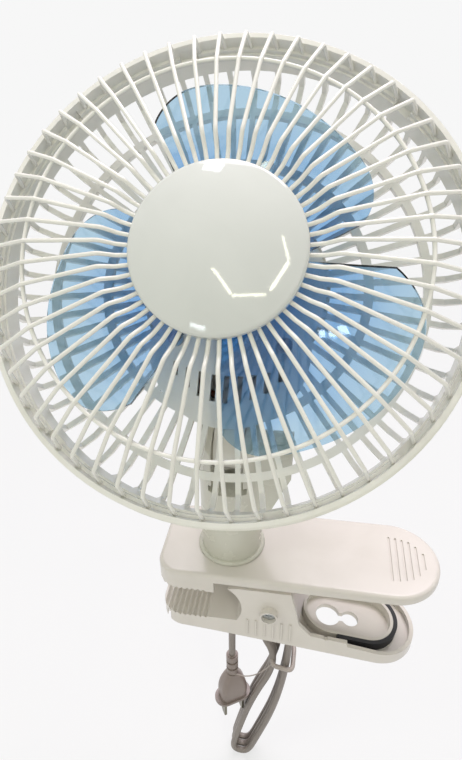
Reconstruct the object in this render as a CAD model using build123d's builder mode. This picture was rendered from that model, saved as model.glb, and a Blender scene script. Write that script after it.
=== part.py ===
"""Clip fan: a caged fan head on a tilting neck, a swivelling column and a sprung clip.

Millimetres. +Z is up and the handles of the clip point to +X. The fan faces -Y at rest, tilted up.
The origin is the middle of the upper jaw's gripping face, where the clip stands on a table edge.
"""
import os
from math import cos, radians, sin, sqrt, tan

from build123d import *

os.makedirs("parts", exist_ok=True)

# ---------------------------------------------------------------- clip: upper arm
ARM_LENGTH = 132.8          # jaw tip to handle end
ARM_WIDTH = 46.0
ARM_TIP = 14.4              # jaw tip, ahead of the grip's middle
ARM_TOP = 11.0              # top of the plate above the gripping face
ARM_SKIN = 2.5              # plate thickness
ARM_EDGE = 4.5              # depth of the handle's turned-down edge
ARM_WALL = 2.2              # thickness of that edge
ARM_ROUND = 2.0             # rounding of the top edge
JAW_LENGTH = 28.0           # toothed part of the upper arm
JAW_CORNER = 11.0           # corner radius of the jaw in plan
SOLE_LENGTH = 17.0          # closed underside of the jaw
SOLE = 2.4                  # thickness of that underside
TOOTH_PITCH = 2.6
TOOTH_DEPTH = 1.1
GROOVE_PITCH = 3.1          # finger grooves near the handle's end
GROOVE_WIDTH = 1.0
GROOVE_DEPTH = 0.6
GROOVE_FIRST = 95.4         # first groove, from the grip's middle
GROOVE_HALVES = (13.6, 13.3, 12.6, 11.6, 9.0, 5.0)

# ---------------------------------------------------------------- clip: hinge and lower arm
HINGE_X = 40.0              # hinge axis of the clip
HINGE_Z = -13.0
LOWER_WIDTH = 41.0
LOWER_WALL = 2.0
LOWER_FLOOR = 2.5
JAW_GAP = 21.5              # table thickness held at rest
JAW_HEIGHT = 9.5            # height of the lower jaw at its root
JAW_NOSE = 7.5              # height of the lower jaw at its tip
LOWER_END = 73.0            # hinge axis to the lower handle's end
LOWER_SLOPE = 6.5           # fall of the lower handle, degrees
LOWER_DROP = 21.6           # hinge axis down to the arm's underside
CHEEK_TOP = 1.5             # top of the cheeks beside the hinge
CHEEK_FRONT = 25.0
CHEEK_BACK = 50.0
THROAT_X = 10.6             # centre of the mouth's round back
THROAT_Z = -12.7
THROAT_RADIUS = 16.0
THROAT_WALL = 2.5
THROAT_TOP = -4.0           # top of the wall across the throat
JAW_KEEL = 14.0             # jaw's underside turns level here
RIM_DIP_X = 54.6            # hollow between cheeks and tray rim
RIM_DIP_Z = -19.3
RIM_START_X = 60.5
RIM_START_Z = -26.6
RIM_STEP_X = 78.5           # step down of the tray rim
RIM_STEP = 2.4
RIM_END_Z = -37.2
NOTCH_X = 68.0              # small notch in the tray rim
NOTCH = 1.6
LUG = 2.5                   # hinge lugs under the upper arm
LUG_RADIUS = 7.0
SIDE_GAP = 0.3              # between faces that turn past each other
PIN_RADIUS = 2.5
PIN_GAP = 0.05              # running clearance of pins and shafts
BOSS_RADIUS = 4.2           # tubular boss round the hinge screw
BOSS_STANDOFF = 3.4
HINGE_HEAD = 3.4            # hinge screw head radius
HINGE_HEAD_HEIGHT = 1.6
RIB_COUNT = 6               # grip ribs below the boss
RIB_PITCH = 4.2
RIB_WIDTH = 0.9
RIB_STANDOFF = 0.6
SPRING_WIRE = 1.8
SPRING_RADIUS = 5.2         # mean radius of the coil
SPRING_TURNS = 5
SPRING_PITCH = 2.5
SPRING_UPPER = 50.0         # slopes of the two legs, degrees
SPRING_LOWER = 47.0
SPRING_REACH = 11.0         # where the lower leg bears, behind the hinge
SPRING_GAP = 0.1
KEY_LARGE = 6.3             # keyhole radii
KEY_SMALL = 4.4
KEY_NECK = 4.8
KEY_LARGE_X = 29.6          # keyhole centres behind the hinge
KEY_SMALL_X = 41.1
STADIUM_HALF = 14.0         # raised wall round the keyhole
STADIUM_START = 16.0
STADIUM_END = 62.5
STADIUM_WALL = 1.6
STADIUM_HEIGHT = 5.0
BAND = 2.0                  # rubber band outside that wall
BAND_HEIGHT = 5.0
BAND_START = 33.5
BAND_GAP = 0.1

# ---------------------------------------------------------------- column and tilt joint
COLUMN_X = 19.0             # column axis
COLUMN_RADIUS = 14.4
COLUMN_WALL = 2.4
FOOT_RADIUS = 16.1          # flared foot of the column
FOOT_HEIGHT = 1.6
FOOT_GAP = 0.3
TILT_Z = 70.0               # tilt axis
TONGUE = 13.0               # thickness of the neck's tongue
TONGUE_RADIUS = 9.6
TONGUE_GAP = 0.5
FORK_TOP = 10.0             # cheeks above the tilt axis
SLOT_FLOOR = 17.0           # slot bottom below the tilt axis
SLOT_NOTCH = 1.5
SLOT_NOTCH_HEIGHT = 3.4
WIRE_WAY = 4.5              # hole for the lead through the slot's floor
GUSSET_LOW = 31.0           # tapered boss on the column's side
GUSSET_END = 46.4
GUSSET_SHOULDER = 61.0
GUSSET_HALF = 8.5
TILT_BOLT = 2.5
TILT_HEAD = 4.6
TILT_HEAD_HEIGHT = 3.0
TILT_POCKET = 4.6           # depth of the bolt's pockets
TILT_NUT = 4.4
WASHER_RADIUS = 8.5
WASHER = 0.4
STEM_RADIUS = 7.0           # swivel stem through the plate
STEM_GAP = 0.1
RETAINER_RADIUS = 10.5
RETAINER = 1.6
SCREW_RADIUS = 1.6

# ---------------------------------------------------------------- fan head
TILT = 37.6                 # upward tilt at rest, degrees
AXLE_RISE = 62.8            # tilt axis to fan axle
RIM_AHEAD = 49.5            # tilt axis to the cage's widest plane
RIM_RADIUS = 92.5
FRONT_RADIUS = 91.0
RIM_BAND = 1.9
FRONT_LIP = 6.8             # front rim ahead of the widest plane
FRONT_FOOT = 3.2
FRONT_FOOT_D = 1.8
WIRE = 1.5                  # ribs of the front guard
WIRES = 56
WIRE_TURN = -0.7            # first wire from the top, degrees
WIRE_BENDING = 3.0
WIRE_START = 27.0
WIRE_START_D = 26.3
WIRE_BEND = 34.5
WIRE_BEND_D = 27.4
WIRE_STEP = 39.5
WIRE_STEP_D = 30.4
WIRE_CREST = 68.0
WIRE_CREST_D = 25.6
WIRE_CORNER = 83.8
WIRE_CORNER_D = 16.7
WIRE_END = 89.4
WIRE_END_D = 0.9
HOOP_RADIUS = 68.1
HOOP_D = 24.6
HUB_RADIUS = 28.6
HUB_BACK = 24.9
HUB_FRONT = 27.7
CAP_RADIUS = 29.5
CAP_RIM = 3.2
CAP_CROWN = 8.2
CAP_WALL = 1.8
CAP_ROUND = 1.6
CAP_PEGS = 3
CAP_PEG = 1.8
CAP_PEG_CIRCLE = 19.0
REAR_DEPTH = 22.0           # back face of the rear guard
REAR_RIB = 2.6              # thickness of the rear ribs
REAR_RIB_WIDTH = 2.1
REAR_WALL_RADIUS = 89.0
REAR_WALL = 2.0
REAR_BEND = 7.0
FLANGE = 2.6
RING_OUTER = (73.5, 76.8)   # flat rings of the rear guard
RING_INNER = (51.0, 54.5)
REAR_HUB = 36.5
SHIELD_DROP = 24.0          # rounded shield over the neck
SHIELD_RADIUS = 32.4
SHIELD_SLOTS = 9
SHIELD_PITCH = 5.3
SHIELD_SLOT = 2.1
SLOT_TOP_RADIUS = 51.0      # arcs along the slots' upper and lower ends
SLOT_TOP = 35.5
SLOT_END_RADIUS = 27.6
SLOT_END = 46.3
REAR_BAND = 9.5             # closed band ahead of the rear ribs
SNAP_ANGLES = (15, 49, 138)  # latch windows, each with its opposite
SNAP_WIDTH = 7.0
SNAP_DEPTH = 1.8

# ---------------------------------------------------------------- motor
HOUSING_RADIUS = 38.0
HOUSING_WALL = 2.0
HOUSING_DEPTH = 44.0
HOUSING_ROUND = 9.0
HOUSING_TAPER = 4.8
HOUSING_VENTS = 10
VENT_CIRCLE = 17.0
VENT_LENGTH = 11.0
VENT_WIDTH = 2.2
POST_HEIGHT = 5.0
CHIN_DEPTH = 16.0           # bulge of the housing behind the shield's slots
CHIN_ROUND = 3.0
NECK_WIDTH = 34.0
NECK_DEPTH = 26.0
NECK_ROUND = 6.0
NECK_HEIGHT = 14.0
NECK_CLEAR = 19.6           # tilt axis to the start of the flare
SHAFT_RADIUS = 3.0
SHAFT_FRONT = 17.0          # shaft ends, from the widest plane
SHAFT_BACK = -60.0
ROTOR_RADIUS = 13.5
ROTOR_LENGTH = 18.0
ROTOR_MIDDLE = -42.0
AIR_GAP = 0.5
STATOR_RADIUS = 30.0
STATOR_LENGTH = 14.0
POLES = 4
POLE_WIDTH = 9.0
YOKE_INNER = 25.0
BOBBIN = 0.8
COIL_WALL = 3.6
BRACKET_THICK = 1.6
BRACKET_WIDTH = 8.0
THRUST = 1.2
BRACKET_AWAY = 7.4          # bracket from the stator's face
BUSH_RADIUS = 6.0
BUSH_LENGTH = 7.0
STUD_CIRCLE = 27.5
STUD_RADIUS = 1.9
GUARD_SCREW_CIRCLE = 31.0
GUARD_SCREW_RADIUS = 1.5
GUARD_SCREW_HEAD = 3.0
GUARD_SCREW_LENGTH = 7.0
BOSS_REACH = 8.0            # screw bosses run on into the housing's wall
HUB_HOLE = 8.0
SPOKE_TURN = 0.0
DIAL_DROP = 14.0            # dial below the axle
DIAL_RADIUS = 9.0
DIAL_HEIGHT = 7.0
DIAL_STEM = 3.0
SWITCH_BODY = 12.0
SWITCH_DEPTH = 5.5

# ---------------------------------------------------------------- impeller
BLADES = 3
BLADE_RADIUS = 74.0
BLADE_THICK = 1.6
BLADE_TURN = 15.0           # first blade from the top, degrees
BLADE_ROOT_HALF = 14.0      # half chord and half pitch at the root
BLADE_ROOT_PITCH = 11.5
BLADE_TIP_HALF = 76.0
BLADE_TIP_PITCH = 14.0
BLADE_CAMBER = 5.0
BLADE_TRAIL = 54.0          # trailing end of the outline, degrees
BLADE_LEAD = 47.0           # leading end of the outline, degrees
IMPELLER_HUB = 15.5
IMPELLER_WALL = 2.0
IMPELLER_HUB_LENGTH = 24.0
IMPELLER_MIDDLE = 1.5
SPINNER_RADIUS = 7.0
SPINNER_LENGTH = 6.0

# ---------------------------------------------------------------- cord
CORD = 4.4                  # diameter
CORD_X = 50.0               # gland behind the upper arm
CORD_Y = 27.0
GLAND_BOSS = 5.6
GLAND_RADIUS = 3.9
GLAND_LENGTH = 20.0
GLAND_TIP = 2.9
DROP_SWAY = 1.5             # sway of the free stretch
ARC_SHARE = 0.45
HANK_LOOPS = 3
HANK_STEP = 5.0             # layer to layer
TIE_X = 47.2
TIE_Z = -122.0
HANK_LEAN = 13.7            # lean from the vertical, degrees
HANK_WAIST = 3.0            # half widths of the hank, and their places below the tie
HANK_BELLY = 8.6
HANK_BELLY_AT = 52.0
HANK_FOOT = 5.4
HANK_FOOT_AT = 120.0
LOBE_LEFT = 31.0            # lobes above the tie
LOBE_LOW = -100.0
LOBE_TOP = -82.0
EXIT_X = 41.0               # stretch from the hank to the plug
ARCH_TOP = -56.0
ARCH_X = 15.0
ARCH_AHEAD = 2.5
TIE_WIRE = 1.0
TIE_BAND = 2.2
TIE_GAP = 0.6
TIE_SLACK = 3.0             # room for the strands that spread above the tie
TIE_TAIL = 6.0
PLUG_X = 14.0
PLUG_TOP = -121.0           # top of the plug's strain relief
PLUG_RELIEF = 19.0
RELIEF_RADIUS = 3.9
RELIEF_RIBS = 3
PLUG_BODY = 27.0
PLUG_FLANGE = 2.0
PLUG_FLANGE_WIDTH = 25.0
PLUG_FLANGE_THICK = 14.0
PLUG_WIDTH = 17.5           # body at the flange
PLUG_THICK = 11.6
PLUG_ROUND = 3.6
PLUG_TURN = 31.0            # turn of the plug about its cord, degrees
PIN_SPACING = 12.7
PIN_WIDTH = 6.3
PIN_THICK = 1.5
PIN_LENGTH = 18.0


# ---------------------------------------------------------------- shared places
def save(context, label):
    """Label a finished piece and write its STEP file."""
    context.part.label = label
    export_step(context.part, f"parts/{label}.step")


def turned(shape, axis, count, start=0.0):
    """Copies of a shape, evenly turned about an axis."""
    return [shape.rotate(axis, start + i * 360 / count) for i in range(count)]


FACING = Vector(0, -cos(radians(TILT)), sin(radians(TILT)))
RISING = Vector(0, sin(radians(TILT)), cos(radians(TILT)))
TILT_POINT = Vector(COLUMN_X, 0, TILT_Z)
RIM_POINT = TILT_POINT + RISING * AXLE_RISE + FACING * RIM_AHEAD
AXLE = Axis(RIM_POINT, FACING)
HEAD = Plane(RIM_POINT, x_dir=(1, 0, 0), z_dir=FACING)           # local y points up the head
SPOKE = Plane(RIM_POINT, x_dir=(1, 0, 0), z_dir=RISING * -1)     # local x is radius, y is depth
BETWEEN = Plane(SPOKE.location * Rot(0, WIRE_TURN + 180 / WIRES, 0))   # as SPOKE, midway between two wires
HEAD_SIDE = Plane(RIM_POINT, x_dir=FACING, z_dir=(-1, 0, 0))     # local x is depth, y points up
SIDE = Plane.XZ
ARM_TAIL = ARM_LENGTH - ARM_TIP
ARM_HALF = ARM_WIDTH / 2
LOWER_HALF = LOWER_WIDTH / 2
CHEEK_INNER = LOWER_HALF - LOWER_WALL
JAW_FACE = -JAW_GAP
LOWER_TAIL = HINGE_X + LOWER_END
REAR_FACE = -REAR_DEPTH + REAR_RIB


# ================================================================ upper arm
def arm_outline(inset):
    """Plan of the upper arm: rounded jaw, fully round handle end."""
    with BuildSketch() as outline:
        tail = ARM_TAIL - ARM_HALF
        with Locations(((tail - ARM_TIP) / 2, 0)):
            Rectangle(tail + ARM_TIP, ARM_WIDTH)
        jaw_end = outline.vertices().group_by(Axis.X)[0]
        fillet(jaw_end, JAW_CORNER)
        with Locations((tail, 0)):
            Circle(ARM_HALF)
        if inset:
            offset(amount=-inset)
    return outline.sketch


def groove_x(index):
    return GROOVE_FIRST + index * GROOVE_PITCH


HANDLE_UNDER = ARM_TOP - ARM_EDGE
JAW_BACK = JAW_LENGTH - ARM_TIP

with BuildPart() as upper_arm:
    with BuildSketch(Plane.XY.offset(HANDLE_UNDER)):
        add(arm_outline(0))
    extrude(amount=ARM_EDGE)
    with BuildSketch(Plane.XY):
        add(arm_outline(0))
        with Locations((JAW_BACK, 0)):
            Rectangle(2 * ARM_LENGTH, 2 * ARM_WIDTH, align=(Align.MIN, Align.CENTER), mode=Mode.SUBTRACT)
    extrude(amount=HANDLE_UNDER)
    fillet(upper_arm.faces().sort_by(Axis.Z)[-1].edges(), ARM_ROUND)
    with BuildSketch(Plane.XY):
        add(arm_outline(ARM_WALL))
    extrude(amount=ARM_TOP - ARM_SKIN, mode=Mode.SUBTRACT)
    with BuildSketch(Plane.XY):
        add(arm_outline(ARM_WALL / 2))
        with Locations((SOLE_LENGTH - ARM_TIP, 0)):
            Rectangle(2 * ARM_LENGTH, 2 * ARM_WIDTH, align=(Align.MIN, Align.CENTER), mode=Mode.SUBTRACT)
    extrude(amount=SOLE)
    # hinge lugs
    for lug_y in (CHEEK_INNER - SIDE_GAP, -CHEEK_INNER + SIDE_GAP + LUG):
        with BuildSketch(SIDE.offset(-lug_y)):
            with Locations((HINGE_X, HINGE_Z)):
                Circle(LUG_RADIUS)
            with Locations((HINGE_X, (HINGE_Z + ARM_TOP - ARM_SKIN) / 2)):
                Rectangle(2 * LUG_RADIUS, ARM_TOP - ARM_SKIN - HINGE_Z)
            with Locations((HINGE_X, HINGE_Z)):
                Circle(PIN_RADIUS + PIN_GAP, mode=Mode.SUBTRACT)
        extrude(amount=LUG)
    # swivel seat
    with BuildSketch(Plane.XY.offset(ARM_TOP - ARM_SKIN)):
        with Locations((COLUMN_X, 0)):
            Circle(STEM_RADIUS + STEM_GAP)
    extrude(amount=ARM_SKIN, mode=Mode.SUBTRACT)
    # boss of the cord gland, behind the plate
    with BuildSketch(Plane.XY.offset(-1)):
        with Locations((CORD_X, CORD_Y)):
            Circle(GLAND_BOSS)
        with Locations((CORD_X, (CORD_Y + ARM_HALF - ARM_WALL) / 2)):
            Rectangle(2 * GLAND_BOSS, CORD_Y - ARM_HALF + ARM_WALL)
    extrude(amount=ARM_TOP - ARM_ROUND + 1)
    with BuildSketch(Plane.XY.offset(-1)):
        with Locations((CORD_X, CORD_Y)):
            Circle(GLAND_RADIUS)
    extrude(amount=ARM_TOP - ARM_ROUND - ARM_WALL + 1, mode=Mode.SUBTRACT)
    # finger grooves
    for i, half in enumerate(GROOVE_HALVES):
        with BuildSketch(Plane.XY.offset(ARM_TOP - GROOVE_DEPTH)):
            with Locations((groove_x(i), 0)):
                SlotOverall(2 * half, GROOVE_WIDTH, rotation=90)
        extrude(amount=2 * GROOVE_DEPTH, mode=Mode.SUBTRACT)
    # teeth along the jaw's gripping edge
    teeth = int((JAW_LENGTH - 3) / TOOTH_PITCH)
    with BuildSketch(SIDE.offset(-ARM_WIDTH)):
        with Locations([(-ARM_TIP + 2.2 + i * TOOTH_PITCH, 0) for i in range(teeth)]):
            Polygon((-TOOTH_DEPTH, 0), (TOOTH_DEPTH, 0), (0, TOOTH_DEPTH), align=None)
    extrude(amount=2 * ARM_WIDTH, mode=Mode.SUBTRACT)
save(upper_arm, "upper_arm")
print("upper arm", upper_arm.part.volume, len(upper_arm.part.solids()))


# ================================================================ lower arm
def underside(x):
    """Height of the lower handle's sloping underside."""
    return HINGE_Z - LOWER_DROP - (x - HINGE_X) * tan(radians(LOWER_SLOPE))


def throat_x(radius, z):
    """Where a circle round the mouth's centre reaches height z, on the throat's side."""
    return THROAT_X + sqrt(radius ** 2 - (z - THROAT_Z) ** 2)


def lower_plan(half, tail, tip):
    """Plan of the lower arm: square shoulders, rounded jaw, fully round handle end."""
    with BuildSketch() as plan:
        with Locations(((tail - half + tip) / 2, 0)):
            Rectangle(tail - half - tip, 2 * half)
        fillet(plan.vertices().group_by(Axis.X)[0], JAW_CORNER)
        with Locations((tail - half, 0)):
            Circle(half)
    return plan.sketch


FLOOR_PLANE = Plane(
    (HINGE_X, 0, underside(HINGE_X) + LOWER_FLOOR),
    x_dir=(cos(radians(LOWER_SLOPE)), 0, -sin(radians(LOWER_SLOPE))),
    z_dir=(sin(radians(LOWER_SLOPE)), 0, cos(radians(LOWER_SLOPE))),
)
MOUTH_BACK = throat_x(THROAT_RADIUS, JAW_FACE)
MOUTH_TOP = throat_x(THROAT_RADIUS, CHEEK_TOP - 1)
THROAT_IN = throat_x(THROAT_RADIUS + THROAT_WALL, JAW_FACE)
THROAT_OUT = throat_x(THROAT_RADIUS + THROAT_WALL, THROAT_TOP)
THROAT_DEEP = THROAT_X + THROAT_RADIUS
CHEEK_DEEP = THROAT_DEEP + THROAT_WALL

with BuildPart() as tray:
    with BuildSketch(SIDE):
        with BuildLine():
            Polyline(
                (THROAT_IN, JAW_FACE),
                (THROAT_IN, underside(THROAT_IN) + LOWER_FLOOR),
                (LOWER_TAIL, underside(LOWER_TAIL) + LOWER_FLOOR),
                (LOWER_TAIL, ARM_TOP),
                (THROAT_X, ARM_TOP),
                (THROAT_X, THROAT_TOP),
                (THROAT_OUT, THROAT_TOP),
            )
            ThreePointArc((THROAT_OUT, THROAT_TOP), (CHEEK_DEEP, THROAT_Z), (THROAT_IN, JAW_FACE))
        make_face()
    extrude(amount=CHEEK_INNER, both=True)
    with BuildSketch(Plane.XY):
        add(lower_plan(CHEEK_INNER, LOWER_TAIL - LOWER_WALL, -ARM_TIP))
    extrude(amount=2 * LOWER_WIDTH, both=True, mode=Mode.INTERSECT)

with BuildPart() as lower_arm:
    with BuildSketch(SIDE):
        with BuildLine():
            Polyline(
                (MOUTH_BACK, JAW_FACE),
                (-ARM_TIP, JAW_FACE),
                (-ARM_TIP, JAW_FACE - JAW_NOSE),
                (JAW_KEEL, underside(JAW_KEEL)),
                (LOWER_TAIL, underside(LOWER_TAIL)),
                (LOWER_TAIL, RIM_END_Z),
                (RIM_STEP_X, underside(RIM_STEP_X) + RIM_STEP + LOWER_FLOOR + STADIUM_HEIGHT - 2),
                (RIM_STEP_X, underside(RIM_STEP_X) + 2 * RIM_STEP + LOWER_FLOOR + STADIUM_HEIGHT - 2),
                (RIM_START_X, RIM_START_Z),
                (RIM_DIP_X, RIM_DIP_Z),
                (CHEEK_BACK, CHEEK_TOP),
                (CHEEK_FRONT, CHEEK_TOP),
                (MOUTH_TOP, CHEEK_TOP - 1),
            )
            ThreePointArc((MOUTH_TOP, CHEEK_TOP - 1), (THROAT_DEEP, THROAT_Z), (MOUTH_BACK, JAW_FACE))
        make_face()
    extrude(amount=LOWER_HALF, both=True)
    with BuildSketch(Plane.XY):
        add(lower_plan(LOWER_HALF, LOWER_TAIL, -ARM_TIP))
    extrude(amount=2 * LOWER_WIDTH, both=True, mode=Mode.INTERSECT)
    # hollow of the tray, behind the throat wall
    add(tray.part, mode=Mode.SUBTRACT)
    # pockets under the jaw, between ribs
    pocket = (CHEEK_INNER * 2 - 2 * LOWER_WALL) / 3
    for i in (-1, 0, 1):
        pocket_x = (THROAT_IN - ARM_TIP) / 2 - THROAT_WALL
        with Locations((pocket_x, i * (pocket + LOWER_WALL), JAW_FACE - LOWER_FLOOR)):
            Box(
                ARM_TIP + THROAT_IN - 4 * THROAT_WALL, pocket, 2 * JAW_HEIGHT,
                align=(Align.CENTER, Align.CENTER, Align.MAX), mode=Mode.SUBTRACT,
            )
    # raised wall round the keyhole
    with BuildSketch(FLOOR_PLANE):
        with Locations(((STADIUM_START + STADIUM_END) / 2, 0)):
            SlotOverall(STADIUM_END - STADIUM_START, 2 * STADIUM_HALF)
            inner_length = STADIUM_END - STADIUM_START - 2 * STADIUM_WALL
            SlotOverall(inner_length, 2 * STADIUM_HALF - 2 * STADIUM_WALL, mode=Mode.SUBTRACT)
    extrude(amount=STADIUM_HEIGHT)
    # keyhole through the floor
    with BuildSketch(FLOOR_PLANE):
        with Locations((KEY_LARGE_X, 0)):
            Circle(KEY_LARGE)
        with Locations((KEY_SMALL_X, 0)):
            Circle(KEY_SMALL)
        with Locations(((KEY_LARGE_X + KEY_SMALL_X) / 2, 0)):
            Rectangle(KEY_SMALL_X - KEY_LARGE_X, KEY_NECK)
    extrude(amount=2 * LOWER_FLOOR, both=True, mode=Mode.SUBTRACT)
    # tubular bosses round the hinge screw
    for side in (1, -1):
        with BuildSketch(SIDE.offset(-side * (LOWER_HALF - LOWER_WALL / 2))):
            with Locations((HINGE_X, HINGE_Z)):
                Circle(BOSS_RADIUS)
        extrude(amount=-side * (BOSS_STANDOFF + LOWER_WALL / 2))
        with BuildSketch(SIDE.offset(-side * LOWER_HALF)):
            with Locations((HINGE_X, HINGE_Z)):
                Circle(HINGE_HEAD + PIN_GAP)
        extrude(amount=-side * (BOSS_STANDOFF + 1), mode=Mode.SUBTRACT)
        # grip ribs below the boss
        for i in range(RIB_COUNT):
            rib_x = HINGE_X + (i - (RIB_COUNT - 1) / 2) * RIB_PITCH
            rib_low = underside(rib_x) + LOWER_FLOOR
            with Locations((rib_x, side * LOWER_HALF, (rib_low + HINGE_Z - BOSS_RADIUS) / 2 - 1)):
                Box(RIB_WIDTH, 2 * RIB_STANDOFF, HINGE_Z - BOSS_RADIUS - rib_low - 3)
    with BuildSketch(SIDE):
        with Locations((HINGE_X, HINGE_Z)):
            Circle(PIN_RADIUS + PIN_GAP)
    extrude(amount=LOWER_WIDTH, both=True, mode=Mode.SUBTRACT)
    # notch in the near rim, and the jaw's teeth
    with Locations((NOTCH_X, -LOWER_HALF, RIM_START_Z)):
        Box(NOTCH, 3 * LOWER_WALL, 2 * NOTCH, mode=Mode.SUBTRACT)
    with BuildSketch(SIDE.offset(-LOWER_WIDTH)):
        with Locations([(-ARM_TIP + 2.2 + i * TOOTH_PITCH, JAW_FACE) for i in range(teeth)]):
            Polygon((-TOOTH_DEPTH, 0), (TOOTH_DEPTH, 0), (0, -TOOTH_DEPTH), align=None)
    extrude(amount=2 * LOWER_WIDTH, mode=Mode.SUBTRACT)
save(lower_arm, "lower_arm")
print("lower arm", lower_arm.part.volume, len(lower_arm.part.solids()))

# ---------------------------------------------------------------- rubber band
with BuildPart() as grip_band:
    band_inner = STADIUM_HALF + BAND_GAP
    with BuildSketch(FLOOR_PLANE.offset(BAND_GAP)):
        with Locations(((STADIUM_START + STADIUM_END) / 2, 0)):
            SlotOverall(STADIUM_END - STADIUM_START + 2 * (BAND + BAND_GAP), 2 * (band_inner + BAND))
            SlotOverall(STADIUM_END - STADIUM_START + 2 * BAND_GAP, 2 * band_inner, mode=Mode.SUBTRACT)
        with Locations((BAND_START, 0)):
            Rectangle(2 * STADIUM_END, 4 * band_inner, align=(Align.MAX, Align.CENTER), mode=Mode.SUBTRACT)
    extrude(amount=BAND_HEIGHT)
save(grip_band, "grip_band")

# ---------------------------------------------------------------- hinge screw and nut
with BuildPart() as hinge_screw:
    with BuildSketch(SIDE.offset(LOWER_HALF)):
        with Locations((HINGE_X, HINGE_Z)):
            Circle(PIN_RADIUS)
    extrude(amount=-(LOWER_WIDTH + HINGE_HEAD_HEIGHT + 1))
    with BuildSketch(SIDE.offset(LOWER_HALF)):
        with Locations((HINGE_X, HINGE_Z)):
            Circle(HINGE_HEAD)
    extrude(amount=HINGE_HEAD_HEIGHT)
    fillet(hinge_screw.edges().group_by(Axis.Y)[0], 0.6)
    with Locations((HINGE_X, -LOWER_HALF - HINGE_HEAD_HEIGHT, HINGE_Z)):
        Box(0.9, 1.2, 3.2, mode=Mode.SUBTRACT)
        Box(3.2, 1.2, 0.9, mode=Mode.SUBTRACT)
save(hinge_screw, "hinge_screw")

with BuildPart() as hinge_nut:
    with BuildSketch(SIDE.offset(-LOWER_HALF)):
        with Locations((HINGE_X, HINGE_Z)):
            RegularPolygon(HINGE_HEAD, 6)
            Circle(PIN_RADIUS, mode=Mode.SUBTRACT)
    extrude(amount=-HINGE_HEAD_HEIGHT)
save(hinge_nut, "hinge_nut")

# ---------------------------------------------------------------- clip spring
def leg_length(rise, slope):
    """Length of a leg that leaves the coil at a slope and ends a given height from the hinge."""
    return (rise - SPRING_RADIUS * cos(radians(slope))) / sin(radians(slope))


UPPER_REST = ARM_TOP - ARM_SKIN - SPRING_WIRE / 2 - SPRING_GAP - HINGE_Z
SLOPE_FALL = SPRING_REACH * tan(radians(LOWER_SLOPE))
LOWER_REST = LOWER_DROP + SLOPE_FALL - LOWER_FLOOR - SPRING_WIRE / 2 - SPRING_GAP
COIL_TURNS = SPRING_TURNS + (180 - SPRING_UPPER - SPRING_LOWER) / 360
COIL_HALF = COIL_TURNS * SPRING_PITCH / 2
COIL = Plane(
    (HINGE_X, COIL_HALF, HINGE_Z),
    x_dir=(-sin(radians(SPRING_UPPER)), 0, cos(radians(SPRING_UPPER))),
    z_dir=(0, -1, 0),
)

winding = COIL * Helix(SPRING_PITCH, COIL_TURNS * SPRING_PITCH, SPRING_RADIUS)

with BuildPart() as clip_spring:
    with BuildLine():
        add(winding)
    with BuildSketch(Plane(winding @ 0, z_dir=winding % 0)):
        Circle(SPRING_WIRE / 2)
    sweep(is_frenet=True)
    # legs
    with BuildSketch(Plane(winding @ 0, z_dir=winding % 0)):
        Circle(SPRING_WIRE / 2)
    extrude(amount=-leg_length(UPPER_REST, SPRING_UPPER))
    with BuildSketch(Plane(winding @ 1, z_dir=winding % 1)):
        Circle(SPRING_WIRE / 2)
    extrude(amount=leg_length(LOWER_REST, SPRING_LOWER))
save(clip_spring, "clip_spring")
print("spring", clip_spring.part.volume, clip_spring.part.bounding_box())

# ================================================================ column
COLUMN_BASE = ARM_TOP + FOOT_GAP
CROWN_Z = TILT_Z + FORK_TOP - COLUMN_RADIUS
SLOT_Z = TILT_Z - SLOT_FLOOR
SLOT = TONGUE + 2 * TONGUE_GAP
GUSSET_X = COLUMN_X + COLUMN_RADIUS
GUSSET_FOOT = GUSSET_LOW
TILT_LEFT = COLUMN_X - COLUMN_RADIUS + TILT_POCKET
TILT_RIGHT = GUSSET_END - TILT_POCKET

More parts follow.
